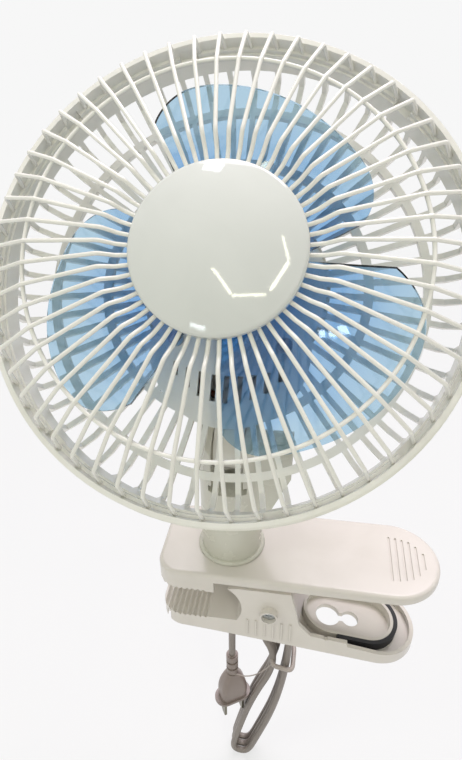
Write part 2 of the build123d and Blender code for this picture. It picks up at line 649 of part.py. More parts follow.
with BuildPart() as column:
    with BuildSketch(Plane.XY.offset(COLUMN_BASE)):
        with Locations((COLUMN_X, 0)):
            Circle(COLUMN_RADIUS)
    extrude(amount=TILT_Z + FORK_TOP - COLUMN_BASE)
    # flared foot
    with BuildSketch(Plane.XY.offset(COLUMN_BASE)):
        with Locations((COLUMN_X, 0)):
            Circle(FOOT_RADIUS)
    extrude(amount=FOOT_HEIGHT)
    fillet(column.edges().filter_by(GeomType.CIRCLE).filter_by(lambda e: e.radius == FOOT_RADIUS)
           .group_by(Axis.Z)[-1], FOOT_HEIGHT * 0.6)
    # tapered boss on the side
    with BuildSketch(SIDE):
        Polygon(
            (COLUMN_X, GUSSET_FOOT), (GUSSET_X, GUSSET_FOOT), (GUSSET_END, GUSSET_SHOULDER),
            (GUSSET_END, TILT_Z), (COLUMN_X, TILT_Z), align=None,
        )
    extrude(amount=GUSSET_HALF, both=True)
    with BuildSketch(Plane.YZ.offset(COLUMN_X)):
        with Locations((0, TILT_Z)):
            Circle(GUSSET_HALF)
    extrude(amount=GUSSET_END - COLUMN_X)
    # rounded crown, in side view
    with BuildSketch(Plane.YZ):
        with Locations((0, CROWN_Z)):
            Circle(COLUMN_RADIUS)
            Rectangle(4 * COLUMN_RADIUS, 2 * TILT_Z, align=(Align.CENTER, Align.MAX))
    extrude(amount=2 * TILT_Z, both=True, mode=Mode.INTERSECT)
    # fork slot, with its wider foot
    with Locations((COLUMN_X, 0, SLOT_Z)):
        Box(
            SLOT, 4 * COLUMN_RADIUS, TILT_Z,
            align=(Align.CENTER, Align.CENTER, Align.MIN), mode=Mode.SUBTRACT,
        )
        Box(
            SLOT + 2 * SLOT_NOTCH, 4 * COLUMN_RADIUS, SLOT_NOTCH_HEIGHT,
            align=(Align.CENTER, Align.CENTER, Align.MIN), mode=Mode.SUBTRACT,
        )
    # hollow, and the lead's way into it
    with BuildSketch(Plane.XY.offset(COLUMN_BASE + COLUMN_WALL)):
        with Locations((COLUMN_X, 0)):
            Circle(COLUMN_RADIUS - COLUMN_WALL)
    extrude(amount=SLOT_Z - COLUMN_BASE - 2 * COLUMN_WALL, mode=Mode.SUBTRACT)
    with BuildSketch(Plane.XY.offset(SLOT_Z - 2 * COLUMN_WALL)):
        with Locations((COLUMN_X, 0)):
            Circle(WIRE_WAY)
    extrude(amount=4 * COLUMN_WALL, mode=Mode.SUBTRACT)
    # swivel stem below the foot
    stem_end = ARM_TOP - ARM_SKIN - FOOT_GAP
    with BuildSketch(Plane.XY.offset(stem_end)):
        with Locations((COLUMN_X, 0)):
            Circle(STEM_RADIUS)
    extrude(amount=COLUMN_BASE + COLUMN_WALL - stem_end)
    with BuildSketch(Plane.XY.offset(stem_end)):
        with Locations((COLUMN_X, 0)):
            Circle(SCREW_RADIUS)
    extrude(amount=COLUMN_BASE + COLUMN_WALL - stem_end - 1, mode=Mode.SUBTRACT)
    # tilt bolt's way and pockets
    with BuildSketch(Plane.YZ):
        with Locations((0, TILT_Z)):
            Circle(TILT_BOLT + PIN_GAP)
    extrude(amount=2 * GUSSET_END, mode=Mode.SUBTRACT)
    with BuildSketch(Plane.YZ.offset(TILT_LEFT)):
        with Locations((0, TILT_Z)):
            Circle(TILT_HEAD + PIN_GAP)
    extrude(amount=-COLUMN_RADIUS, mode=Mode.SUBTRACT)
    with BuildSketch(Plane.YZ.offset(TILT_RIGHT)):
        with Locations((0, TILT_Z)):
            RegularPolygon(TILT_NUT + PIN_GAP, 6)
    extrude(amount=COLUMN_RADIUS, mode=Mode.SUBTRACT)
save(column, "column")
print("column", column.part.volume, len(column.part.solids()))

with BuildPart() as swivel_washer:
    with BuildSketch(Plane.XY.offset(ARM_TOP - ARM_SKIN - FOOT_GAP)):
        with Locations((COLUMN_X, 0)):
            Circle(RETAINER_RADIUS)
            Circle(SCREW_RADIUS + PIN_GAP, mode=Mode.SUBTRACT)
    extrude(amount=-RETAINER)
save(swivel_washer, "swivel_washer")

with BuildPart() as swivel_screw:
    with BuildSketch(Plane.XY.offset(ARM_TOP - ARM_SKIN - FOOT_GAP - RETAINER)):
        with Locations((COLUMN_X, 0)):
            Circle(SCREW_RADIUS)
    extrude(amount=COLUMN_WALL + FOOT_GAP + RETAINER + 1)
    with BuildSketch(Plane.XY.offset(ARM_TOP - ARM_SKIN - FOOT_GAP - RETAINER)):
        with Locations((COLUMN_X, 0)):
            Circle(2 * SCREW_RADIUS)
    extrude(amount=-SCREW_RADIUS)
    fillet(swivel_screw.edges().group_by(Axis.Z)[0], 0.5)
save(swivel_screw, "swivel_screw")

# ---------------------------------------------------------------- tilt bolt, nut and washers
with BuildPart() as tilt_bolt:
    with BuildSketch(Plane.YZ.offset(TILT_LEFT)):
        with Locations((0, TILT_Z)):
            Circle(TILT_BOLT)
    extrude(amount=TILT_RIGHT - TILT_LEFT + TILT_HEAD_HEIGHT + 1)
    with BuildSketch(Plane.YZ.offset(TILT_LEFT)):
        with Locations((0, TILT_Z)):
            Circle(TILT_HEAD)
    extrude(amount=-TILT_HEAD_HEIGHT)
    fillet(tilt_bolt.edges().group_by(Axis.X)[0], 0.8)
    with Locations((TILT_LEFT - TILT_HEAD_HEIGHT, 0, TILT_Z)):
        Box(2.4, 1.1, 5.0, mode=Mode.SUBTRACT)
        Box(2.4, 5.0, 1.1, mode=Mode.SUBTRACT)
save(tilt_bolt, "tilt_bolt")

with BuildPart() as tilt_nut:
    with BuildSketch(Plane.YZ.offset(TILT_RIGHT)):
        with Locations((0, TILT_Z)):
            RegularPolygon(TILT_NUT, 6)
            Circle(TILT_BOLT, mode=Mode.SUBTRACT)
    extrude(amount=TILT_HEAD_HEIGHT)
save(tilt_nut, "tilt_nut")

with BuildPart() as tilt_washers:
    for side in (1, -1):
        with BuildSketch(Plane.YZ.offset(COLUMN_X + side * SLOT / 2)):
            with Locations((0, TILT_Z)):
                Circle(WASHER_RADIUS)
                Circle(TILT_BOLT + PIN_GAP, mode=Mode.SUBTRACT)
        extrude(amount=-side * WASHER)
save(tilt_washers, "tilt_washers")

# ================================================================ front guard
with BuildPart() as wire:
    with BuildLine(SPOKE) as wire_run:
        FilletPolyline(
            (WIRE_START, WIRE_START_D), (WIRE_BEND, WIRE_BEND_D), (WIRE_STEP, WIRE_STEP_D),
            (WIRE_CREST, WIRE_CREST_D), (WIRE_CORNER, WIRE_CORNER_D), (WIRE_END, WIRE_END_D),
            radius=WIRE_BENDING,
        )
    with BuildSketch(Plane(wire_run.line @ 0, z_dir=wire_run.line % 0)):
        Circle(WIRE / 2)
    sweep()
wires = turned(wire.part, AXLE, WIRES, WIRE_TURN)

with BuildPart() as front_guard:
    # hub disc
    with BuildSketch(BETWEEN):
        Polygon((0, HUB_BACK), (HUB_RADIUS, HUB_BACK), (HUB_RADIUS, HUB_FRONT), (0, HUB_FRONT), align=None)
        # rim skirt with its foot
        Polygon(
            (FRONT_RADIUS - FRONT_FOOT, 0), (FRONT_RADIUS, 0), (FRONT_RADIUS, FRONT_LIP),
            (FRONT_RADIUS - RIM_BAND, FRONT_LIP), (FRONT_RADIUS - RIM_BAND, FRONT_FOOT_D),
            (FRONT_RADIUS - FRONT_FOOT, FRONT_FOOT_D), align=None,
        )
    revolve(axis=AXLE)
    add(wires)
    # hoop behind the wires
    with BuildSketch(BETWEEN):
        with Locations((HOOP_RADIUS, HOOP_D)):
            Circle(WIRE / 2)
    revolve(axis=AXLE)
    # latch windows in the rim's foot
    for angle in SNAP_ANGLES:
        for turn in (angle, angle + 180):
            with Locations(HEAD * Rot(0, 0, turn) * Pos(0, FRONT_RADIUS - FRONT_FOOT, 0)):
                Box(
                    SNAP_WIDTH, 2 * SNAP_DEPTH, 4 * FRONT_FOOT_D, mode=Mode.SUBTRACT,
                )
    # sockets of the cap's pegs
    with BuildSketch(HEAD.offset(HUB_BACK)):
        with PolarLocations(CAP_PEG_CIRCLE, CAP_PEGS):
            Circle(CAP_PEG + PIN_GAP)
    extrude(amount=HUB_FRONT, mode=Mode.SUBTRACT)
save(front_guard, "front_guard")
print("front guard", front_guard.part.volume, len(front_guard.part.solids()))

# ---------------------------------------------------------------- front cap
with BuildPart() as front_cap:
    with BuildSketch(SPOKE):
        with BuildLine():
            Polyline((0, HUB_FRONT), (CAP_RADIUS, HUB_FRONT), (CAP_RADIUS, HUB_FRONT + CAP_RIM))
            ThreePointArc(
                (CAP_RADIUS, HUB_FRONT + CAP_RIM),
                (CAP_RADIUS * 0.55, HUB_FRONT + CAP_RIM + (CAP_CROWN - CAP_RIM) * 0.73),
                (0, HUB_FRONT + CAP_CROWN),
            )
            Line((0, HUB_FRONT + CAP_CROWN), (0, HUB_FRONT))
        make_face()
    revolve(axis=AXLE)
    circles = front_cap.edges().filter_by(GeomType.CIRCLE)
    rim_edge = circles.filter_by(lambda e: abs(e.radius - CAP_RADIUS) < 0.01)
    fillet(rim_edge.sort_by(lambda e: (e.arc_center - RIM_POINT).dot(FACING))[-1], CAP_ROUND)
    with BuildSketch(SPOKE):
        Polygon(
            (0, HUB_FRONT), (CAP_RADIUS - CAP_WALL, HUB_FRONT), (CAP_RADIUS - CAP_WALL, HUB_FRONT + CAP_WALL),
            (0, HUB_FRONT + CAP_CROWN - CAP_WALL), align=None,
        )
    revolve(axis=AXLE, mode=Mode.SUBTRACT)
    with BuildSketch(HEAD.offset(HUB_BACK)):
        with PolarLocations(CAP_PEG_CIRCLE, CAP_PEGS):
            Circle(CAP_PEG)
    extrude(amount=HUB_FRONT - HUB_BACK + CAP_WALL * 2)
save(front_cap, "front_cap")
print("front cap", front_cap.part.volume, len(front_cap.part.solids()))

# ================================================================ rear guard
with BuildPart() as spoke:
    with BuildSketch(SPOKE):
        Polygon(
            (REAR_HUB - 2, -REAR_DEPTH), (REAR_WALL_RADIUS - REAR_BEND, -REAR_DEPTH),
            (REAR_WALL_RADIUS, -REAR_DEPTH + REAR_BEND * 0.75), (REAR_WALL_RADIUS, -REAR_BAND + 1),
            (REAR_WALL_RADIUS - REAR_WALL, -REAR_BAND + 1),
            (REAR_WALL_RADIUS - REAR_WALL, -REAR_DEPTH + REAR_BEND * 0.8),
            (REAR_WALL_RADIUS - REAR_BEND - 0.7, REAR_FACE), (REAR_HUB - 2, REAR_FACE), align=None,
        )
    extrude(amount=REAR_RIB_WIDTH / 2, both=True)
spokes = turned(spoke.part, AXLE, WIRES, WIRE_TURN + SPOKE_TURN)

with BuildPart() as rear_guard:
    with BuildSketch(HEAD.offset(-REAR_DEPTH)):
        for inner, outer in (RING_OUTER, RING_INNER):
            Circle(outer)
            Circle(inner, mode=Mode.SUBTRACT)
        Circle(REAR_HUB)
        with Locations((0, -SHIELD_DROP)):
            Circle(SHIELD_RADIUS)
    extrude(amount=REAR_RIB)
    with BuildSketch(BETWEEN):
        Polygon(
            (REAR_WALL_RADIUS - REAR_WALL, -REAR_BAND), (REAR_WALL_RADIUS, -REAR_BAND),
            (REAR_WALL_RADIUS, -FLANGE), (RIM_RADIUS, -FLANGE), (RIM_RADIUS, 0),
            (REAR_WALL_RADIUS - REAR_WALL, 0), align=None,
        )
    revolve(axis=AXLE)
    add(spokes)
    with BuildSketch(HEAD.offset(-REAR_DEPTH - 1)):
        for i in range(SHIELD_SLOTS):
            slot_x = (i - (SHIELD_SLOTS - 1) / 2) * SHIELD_PITCH
            top = SLOT_TOP_RADIUS - SLOT_TOP - sqrt(SLOT_TOP_RADIUS ** 2 - slot_x ** 2)
            bottom = SLOT_END_RADIUS - SLOT_END - sqrt(SLOT_END_RADIUS ** 2 - slot_x ** 2)
            with Locations((slot_x, (top + bottom) / 2)):
                Rectangle(SHIELD_SLOT, top - bottom)
        Circle(HUB_HOLE)
        with PolarLocations(GUARD_SCREW_CIRCLE, 4, start_angle=45):
            Circle(GUARD_SCREW_RADIUS + PIN_GAP)
    extrude(amount=REAR_RIB + 2, mode=Mode.SUBTRACT)
    for angle in SNAP_ANGLES:
        for turn in (angle, angle + 180):
            with Locations(HEAD * Rot(0, 0, turn) * Pos(0, FRONT_RADIUS - FRONT_FOOT, 0)):
                Box(SNAP_WIDTH, 2 * SNAP_DEPTH, FLANGE, mode=Mode.SUBTRACT)
save(rear_guard, "rear_guard")
print("rear guard", rear_guard.part.volume, len(rear_guard.part.solids()))

with BuildPart() as guard_screws:
    with BuildSketch(HEAD.offset(REAR_FACE)):
        with PolarLocations(GUARD_SCREW_CIRCLE, 4, start_angle=45):
            Circle(GUARD_SCREW_HEAD)
    extrude(amount=GUARD_SCREW_RADIUS)
    with BuildSketch(HEAD.offset(REAR_FACE)):
        with PolarLocations(GUARD_SCREW_CIRCLE, 4, start_angle=45):
            Circle(GUARD_SCREW_RADIUS)
    extrude(amount=-(REAR_RIB + GUARD_SCREW_LENGTH))
save(guard_screws, "guard_screws")

# ================================================================ motor housing
def housing_profile(radius, back, rounding):
    """Half section of the housing's cup: tapered wall and rounded back."""
    with BuildSketch(Plane.XY) as half:
        Polygon(
            (0, -REAR_DEPTH), (radius, -REAR_DEPTH), (radius - HOUSING_TAPER, back), (0, back),
            align=None,
        )
        corner = half.vertices().sort_by(lambda v: v.Y - v.X)[0]
        fillet(corner, rounding)
    return half.sketch


HOUSING_BACK = -REAR_DEPTH - HOUSING_DEPTH
HOUSING_IN = HOUSING_BACK + HOUSING_WALL
NECK_PLANE = Plane(TILT_POINT + RISING * NECK_CLEAR, x_dir=(1, 0, 0), z_dir=RISING)

with BuildPart() as chin:
    with BuildSketch(HEAD.offset(-REAR_DEPTH)):
        with Locations((0, SLOT_END_RADIUS - SLOT_END)):
            Circle(SLOT_END_RADIUS + HOUSING_WALL)
    extrude(amount=-CHIN_DEPTH)
    fillet(chin.faces().sort_by(AXLE)[0].edges(), CHIN_ROUND)

with BuildSketch() as boss_reach:
    Circle(HOUSING_RADIUS - HOUSING_WALL / 2)
    with Locations((0, SLOT_END_RADIUS - SLOT_END)):
        Circle(SLOT_END_RADIUS + HOUSING_WALL / 2)

with BuildPart() as motor_housing:
    with BuildSketch(SPOKE):
        add(housing_profile(HOUSING_RADIUS, HOUSING_BACK, HOUSING_ROUND))
    revolve(axis=AXLE)
    add(chin)
    # neck: flare and tongue
    with BuildSketch(NECK_PLANE):
        RectangleRounded(NECK_WIDTH, NECK_DEPTH, NECK_ROUND)
    extrude(amount=NECK_HEIGHT)
    with BuildSketch(HEAD_SIDE):
        with Locations((-RIM_AHEAD, -AXLE_RISE)):
            Circle(TONGUE_RADIUS)
            Rectangle(2 * TONGUE_RADIUS, NECK_CLEAR + NECK_HEIGHT, align=(Align.CENTER, Align.MIN))
    extrude(amount=TONGUE / 2, both=True)
    with BuildSketch(SPOKE):
        add(housing_profile(HOUSING_RADIUS - HOUSING_WALL, HOUSING_IN, HOUSING_ROUND - HOUSING_WALL))
    revolve(axis=AXLE, mode=Mode.SUBTRACT)
    with BuildSketch(HEAD.offset(-REAR_DEPTH)):
        with Locations((0, SLOT_END_RADIUS - SLOT_END)):
            Circle(SLOT_END_RADIUS)
    extrude(amount=HOUSING_WALL - CHIN_DEPTH, mode=Mode.SUBTRACT)
    with BuildSketch(HEAD_SIDE):
        with Locations((-RIM_AHEAD, -AXLE_RISE)):
            Circle(TILT_BOLT + PIN_GAP)
    extrude(amount=NECK_WIDTH, both=True, mode=Mode.SUBTRACT)
    # bosses for the guard's screws, joined to the wall
    with BuildSketch(HEAD.offset(-REAR_DEPTH)):
        with PolarLocations(GUARD_SCREW_CIRCLE + 2, 4, start_angle=45):
            Rectangle(2 * GUARD_SCREW_HEAD + BOSS_REACH, 2 * GUARD_SCREW_HEAD)
        add(boss_reach.sketch, mode=Mode.INTERSECT)
        with PolarLocations(GUARD_SCREW_CIRCLE, 4, start_angle=45):
            Circle(GUARD_SCREW_RADIUS, mode=Mode.SUBTRACT)
    extrude(amount=-(GUARD_SCREW_LENGTH + 2))
    # posts for the motor's studs
    with BuildSketch(HEAD.offset(HOUSING_IN - HOUSING_WALL / 2)):
        with PolarLocations(STUD_CIRCLE, 2):
            Circle(2 * STUD_RADIUS)
    extrude(amount=POST_HEIGHT + HOUSING_WALL / 2)
    with BuildSketch(HEAD.offset(HOUSING_IN + 1)):
        with PolarLocations(STUD_CIRCLE, 2):
            Circle(STUD_RADIUS)
    extrude(amount=POST_HEIGHT, mode=Mode.SUBTRACT)
    # vents in the back, and the dial's hole
    with BuildSketch(HEAD.offset(HOUSING_BACK - 1)):
        with PolarLocations(VENT_CIRCLE, HOUSING_VENTS, start_angle=0, angular_range=180 * 10 / 9):
            SlotOverall(VENT_LENGTH, VENT_WIDTH)
        with Locations((0, -DIAL_DROP)):
            Circle(DIAL_STEM + SIDE_GAP / 3)
    extrude(amount=2 * HOUSING_WALL, mode=Mode.SUBTRACT)
save(motor_housing, "motor_housing")
print("motor housing", motor_housing.part.volume, len(motor_housing.part.solids()))

# ---------------------------------------------------------------- stator, bobbins and coils
POLE_ANGLE = 45
BORE = ROTOR_RADIUS + AIR_GAP
POLE_MIDDLE = (YOKE_INNER + BORE) / 2
COIL_REACH = YOKE_INNER - BORE - 3

with BuildPart() as stator:
    with BuildSketch(HEAD.offset(ROTOR_MIDDLE - STATOR_LENGTH / 2)):
        Circle(STATOR_RADIUS)
        Circle(YOKE_INNER, mode=Mode.SUBTRACT)
        with PolarLocations((YOKE_INNER + BORE) / 2, POLES, start_angle=POLE_ANGLE):
            Rectangle(YOKE_INNER - BORE + 2, POLE_WIDTH)
        Circle(BORE, mode=Mode.SUBTRACT)
        with PolarLocations(STUD_CIRCLE, 2):
            Circle(STUD_RADIUS + PIN_GAP, mode=Mode.SUBTRACT)
    extrude(amount=STATOR_LENGTH)
save(stator, "stator")


def pole_frame(outer, inner, height):
    """Rectangular frames round the poles, outer and inner wall measured from the pole."""
    frames = []
    for i in range(POLES):
        turn = POLE_ANGLE + i * 360 / POLES
        place = HEAD * Rot(0, 0, turn) * Pos(POLE_MIDDLE - height / 2, 0, ROTOR_MIDDLE) * Rot(0, 90, 0)
        section = Rectangle(STATOR_LENGTH + 2 * outer, POLE_WIDTH + 2 * outer)
        section -= Rectangle(STATOR_LENGTH + 2 * inner, POLE_WIDTH + 2 * inner)
        frames.append(place * extrude(section, height))
    return frames


bobbin_frames = pole_frame(BOBBIN + PIN_GAP, PIN_GAP, COIL_REACH)
coil_frames = pole_frame(BOBBIN + COIL_WALL, BOBBIN + 2 * PIN_GAP, COIL_REACH - 2)

with BuildPart() as bobbins:
    add(bobbin_frames)
save(bobbins, "bobbins")

with BuildPart() as coils:
    add(coil_frames)
save(coils, "coils")
print("coils", coils.part.volume, len(coils.part.solids()))

# ---------------------------------------------------------------- shaft, rotor, bushings
SHAFT_LENGTH = SHAFT_FRONT - SHAFT_BACK
with BuildPart() as shaft:
    with BuildSketch(HEAD.offset(SHAFT_BACK)):
        Circle(SHAFT_RADIUS)
    extrude(amount=SHAFT_LENGTH)
    chamfer(shaft.edges().filter_by(GeomType.CIRCLE), 0.5)
save(shaft, "shaft")

with BuildPart() as rotor:
    with BuildSketch(HEAD.offset(ROTOR_MIDDLE - ROTOR_LENGTH / 2)):
        Circle(ROTOR_RADIUS)
        Circle(SHAFT_RADIUS, mode=Mode.SUBTRACT)
    extrude(amount=ROTOR_LENGTH)
    chamfer(rotor.edges().filter_by(GeomType.CIRCLE).filter_by(lambda e: e.radius > SHAFT_RADIUS + 1), 1.0)
save(rotor, "rotor")

FRONT_BRACKET_D = ROTOR_MIDDLE + STATOR_LENGTH / 2 + BRACKET_AWAY
REAR_BRACKET_D = ROTOR_MIDDLE - STATOR_LENGTH / 2 - BRACKET_AWAY


def bracket(depth, label):
    """Flat strap with ears on the studs and a seat for the bushing."""
    with BuildPart() as strap:
        with BuildSketch(HEAD.offset(depth - BRACKET_THICK / 2)):
            SlotOverall(2 * STUD_CIRCLE + BRACKET_WIDTH, BRACKET_WIDTH)
            Circle(BUSH_RADIUS + 3)
            Circle(BUSH_RADIUS, mode=Mode.SUBTRACT)
            with PolarLocations(STUD_CIRCLE, 2):
                Circle(STUD_RADIUS + PIN_GAP, mode=Mode.SUBTRACT)
        extrude(amount=BRACKET_THICK)
    save(strap, label)


def bushing(depth, label):
    """Sleeve bearing with a collar against the bracket."""
    with BuildPart() as sleeve:
        with BuildSketch(HEAD.offset(depth - BUSH_LENGTH / 2)):
            Circle(BUSH_RADIUS)
            Circle(SHAFT_RADIUS + PIN_GAP, mode=Mode.SUBTRACT)
        extrude(amount=BUSH_LENGTH)
    save(sleeve, label)


bracket(FRONT_BRACKET_D, "front_bracket")
bracket(REAR_BRACKET_D, "rear_bracket")
bushing(FRONT_BRACKET_D, "front_bushing")
bushing(REAR_BRACKET_D, "rear_bushing")

with BuildPart() as thrust_washers:
    thrust_away = ROTOR_LENGTH / 2 + WASHER / 4
    for depth in (ROTOR_MIDDLE + thrust_away, ROTOR_MIDDLE - thrust_away - THRUST):
        with BuildSketch(HEAD.offset(depth)):
            Circle(BUSH_RADIUS)
            Circle(SHAFT_RADIUS + PIN_GAP, mode=Mode.SUBTRACT)
        extrude(amount=THRUST)
save(thrust_washers, "thrust_washers")

with BuildPart() as motor_studs:
    with BuildSketch(HEAD.offset(HOUSING_IN + 1)):
        with PolarLocations(STUD_CIRCLE, 2):
            Circle(STUD_RADIUS)
    extrude(amount=FRONT_BRACKET_D + BRACKET_THICK / 2 - HOUSING_IN - 1)
    with BuildSketch(HEAD.offset(FRONT_BRACKET_D + BRACKET_THICK / 2)):
        with PolarLocations(STUD_CIRCLE, 2):
            Circle(2 * STUD_RADIUS)
    extrude(amount=STUD_RADIUS)
save(motor_studs, "motor_studs")

with BuildPart() as motor_spacers:
    for depth in (ROTOR_MIDDLE + STATOR_LENGTH / 2, REAR_BRACKET_D + BRACKET_THICK / 2):
        with BuildSketch(HEAD.offset(depth)):
            with PolarLocations(STUD_CIRCLE, 2):
                Circle(2 * STUD_RADIUS)
                Circle(STUD_RADIUS + PIN_GAP, mode=Mode.SUBTRACT)
        extrude(amount=BRACKET_AWAY - BRACKET_THICK / 2)
save(motor_spacers, "motor_spacers")

# ---------------------------------------------------------------- speed switch and dial
with BuildPart() as speed_switch:
    with BuildSketch(HEAD.offset(HOUSING_IN)):
        with Locations((0, -DIAL_DROP)):
            Rectangle(SWITCH_BODY, SWITCH_BODY)
            Circle(DIAL_STEM + SIDE_GAP / 3, mode=Mode.SUBTRACT)
    extrude(amount=SWITCH_DEPTH)
save(speed_switch, "speed_switch")

with BuildPart() as speed_dial:
    with BuildSketch(HEAD.offset(HOUSING_BACK - SIDE_GAP)):
        with Locations((0, -DIAL_DROP)):
            Circle(DIAL_RADIUS)
    extrude(amount=-DIAL_HEIGHT, taper=4)
    with BuildSketch(HEAD.offset(HOUSING_BACK - SIDE_GAP - DIAL_HEIGHT)):
        with Locations((0, -DIAL_DROP + DIAL_RADIUS * 0.55)):
            Rectangle(1.4, DIAL_RADIUS * 0.7)
    extrude(amount=1, mode=Mode.SUBTRACT)
    with BuildSketch(HEAD.offset(HOUSING_BACK - SIDE_GAP - 1)):
        with Locations((0, -DIAL_DROP)):
            Circle(DIAL_STEM)
    extrude(amount=SIDE_GAP + 1 + HOUSING_WALL + SWITCH_DEPTH * 0.6)
save(speed_dial, "speed_dial")
print("dial", speed_dial.part.volume, len(speed_dial.part.solids()))

# ================================================================ impeller
def blade_section(radius, half, pitch):
    """Curved ribbon across the blade at one radius, leading edge forward."""
    with BuildSketch(SPOKE.offset(-radius)) as ribbon:
        with BuildLine():
            fore = (-half, pitch + BLADE_THICK / 2)
            aft = (half, -pitch + BLADE_THICK / 2)
            aft_low = (half, -pitch - BLADE_THICK / 2)
            fore_low = (-half, pitch - BLADE_THICK / 2)
            ThreePointArc(fore, (0, -BLADE_CAMBER + BLADE_THICK / 2), aft)
            Line(aft, aft_low)
            ThreePointArc(aft_low, (0, -BLADE_CAMBER - BLADE_THICK / 2), fore_low)
            Line(fore_low, fore)
        make_face()
    return ribbon.sketch


def polar(angle, radius):
    """Point of the head's face plane, angle clockwise from the top."""
    return (radius * sin(radians(angle)), radius * cos(radians(angle)))


with BuildPart() as blade:
    loft([blade_section(IMPELLER_HUB - 5, BLADE_ROOT_HALF, BLADE_ROOT_PITCH),
          blade_section(BLADE_RADIUS + 2, BLADE_TIP_HALF, BLADE_TIP_PITCH)])
    with BuildSketch(HEAD.offset(-IMPELLER_HUB_LENGTH)):
        with BuildLine():
            tip = Spline(
                polar(-BLADE_TRAIL, 40), polar(-50, 52), polar(-42, 64), polar(-33, 71.5), polar(-22, 74),
                polar(0, 73), polar(20, 69.5), polar(35, 66), polar(43, 60), polar(BLADE_LEAD, 50),
            )
            root_lead = polar(BLADE_LEAD + 12, IMPELLER_HUB - 2)
            root_trail = polar(-BLADE_TRAIL - 8, IMPELLER_HUB - 2)
            Polyline(tip @ 1, root_lead, root_trail, tip @ 0)
        make_face()
    extrude(amount=2 * IMPELLER_HUB_LENGTH, mode=Mode.INTERSECT)

with BuildPart() as impeller:
    hub_front = IMPELLER_MIDDLE + IMPELLER_HUB_LENGTH / 2
    hub_back = IMPELLER_MIDDLE - IMPELLER_HUB_LENGTH / 2
    with BuildSketch(HEAD.offset(hub_back)):
        Circle(IMPELLER_HUB)
    extrude(amount=IMPELLER_HUB_LENGTH)
    fillet(impeller.faces().sort_by(lambda f: f.center().dot(FACING))[-1].edges(), 2.5)
    add(turned(blade.part, AXLE, BLADES, -BLADE_TURN))
    with BuildSketch(HEAD.offset(hub_back - 1)):
        Circle(IMPELLER_HUB - IMPELLER_WALL)
        Circle(2 * SHAFT_RADIUS, mode=Mode.SUBTRACT)
    extrude(amount=IMPELLER_HUB_LENGTH + 1 - IMPELLER_WALL, mode=Mode.SUBTRACT)
    with BuildSketch(HEAD.offset(hub_back - 1)):
        Circle(SHAFT_RADIUS)
    extrude(amount=IMPELLER_HUB_LENGTH + 2, mode=Mode.SUBTRACT)
save(impeller, "impeller")
print("impeller", impeller.part.volume, len(impeller.part.solids()))

with BuildPart() as impeller_nut:
    with BuildSketch(HEAD.offset(hub_front)):
        Circle(SPINNER_RADIUS)
    extrude(amount=SPINNER_LENGTH)
    fillet(impeller_nut.faces().sort_by(lambda f: f.center().dot(FACING))[-1].edges(), 2.0)
    with BuildSketch(HEAD.offset(hub_front)):
        Circle(SHAFT_RADIUS)
    extrude(amount=SPINNER_LENGTH - 2, mode=Mode.SUBTRACT)
save(impeller_nut, "impeller_nut")

# ================================================================ cord
def hank_point(down, across, layer):
    """Point of the hank, from the tie: along its lean, to the right, and layers behind the first."""
    lean = radians(HANK_LEAN)
    return Vector(
        TIE_X - down * sin(lean) + across * cos(lean),
        CORD_Y + layer * HANK_STEP,
        TIE_Z - down * cos(lean) - across * sin(lean),
    )


HANK_RIGHT = hank_point(0, HANK_WAIST, 0).X


def hank_loop(layer):
    """One loop: down on the right, round the foot, up on the left and through the lobe above the tie."""
    return [
        hank_point(0, HANK_WAIST, layer),
        hank_point(HANK_BELLY_AT, HANK_BELLY, layer),
        hank_point(HANK_FOOT_AT, HANK_FOOT, layer),
        hank_point(HANK_FOOT_AT, -HANK_FOOT, layer),
        hank_point(HANK_BELLY_AT, -HANK_BELLY, layer),
        hank_point(0, -HANK_WAIST, layer),
        Vector(LOBE_LEFT, CORD_Y + (layer + 1) * HANK_STEP, LOBE_LOW),
        Vector(LOBE_LEFT, CORD_Y + (layer + 1) * HANK_STEP, LOBE_TOP),
        Vector(HANK_RIGHT, CORD_Y + (layer + 1) * HANK_STEP, LOBE_TOP),
    ]


def arc_radii(points):
    """Radius of the tangent arc at each corner, from the shorter run beside it."""
    radii = []
    for before, here, after in zip(points, points[1:], points[2:]):
        run, onward = here - before, after - here
        half_turn = radians(run.get_angle(onward)) / 2
        radii.append(ARC_SHARE * min(run.length, onward.length) / tan(half_turn))
    return radii


def tube(points, label):
    """Round cord swept along straight runs joined by tangent arcs."""
    radii = arc_radii(points)
    with BuildPart() as cord:
        with BuildLine() as route:
            FilletPolyline(*points, radius=radii)
        with BuildSketch(Plane(route.wires()[0] @ 0, z_dir=route.wires()[0] % 0)):
            Circle(CORD / 2)
        sweep()
    save(cord, label)
    path = route.wires()[0]
    print(label, "length", round(path.length, 1), "least radius", round(min(radii), 1))
    return path


def least_gap(path):
    """Least gap of a tube to itself, on points one millimetre apart."""
    count = int(path.length)
    dots = [path @ (i / count) for i in range(count + 1)]
    skip = int(3.2 * CORD)
    return min((dots[i] - dots[j]).length for i in range(count) for j in range(i + skip, count + 1)) - CORD


GLAND_TOP = ARM_TOP - ARM_ROUND - ARM_WALL
GLAND_END = GLAND_TOP - GLAND_LENGTH
HANK_START = Vector(HANK_RIGHT, CORD_Y, LOBE_TOP)
HANK_END = Vector(EXIT_X, CORD_Y + HANK_LOOPS * HANK_STEP, LOBE_TOP)

with BuildPart() as cord_gland:
    with BuildSketch(Plane.XZ.offset(-CORD_Y)):
        Polygon(
            (CORD_X, GLAND_TOP), (CORD_X + GLAND_RADIUS, GLAND_TOP), (CORD_X + GLAND_RADIUS, -2),
            (CORD_X + GLAND_TIP, GLAND_END), (CORD_X, GLAND_END), align=None,
        )
    revolve(axis=Axis((CORD_X, CORD_Y, 0), (0, 0, 1)))
save(cord_gland, "cord_gland")

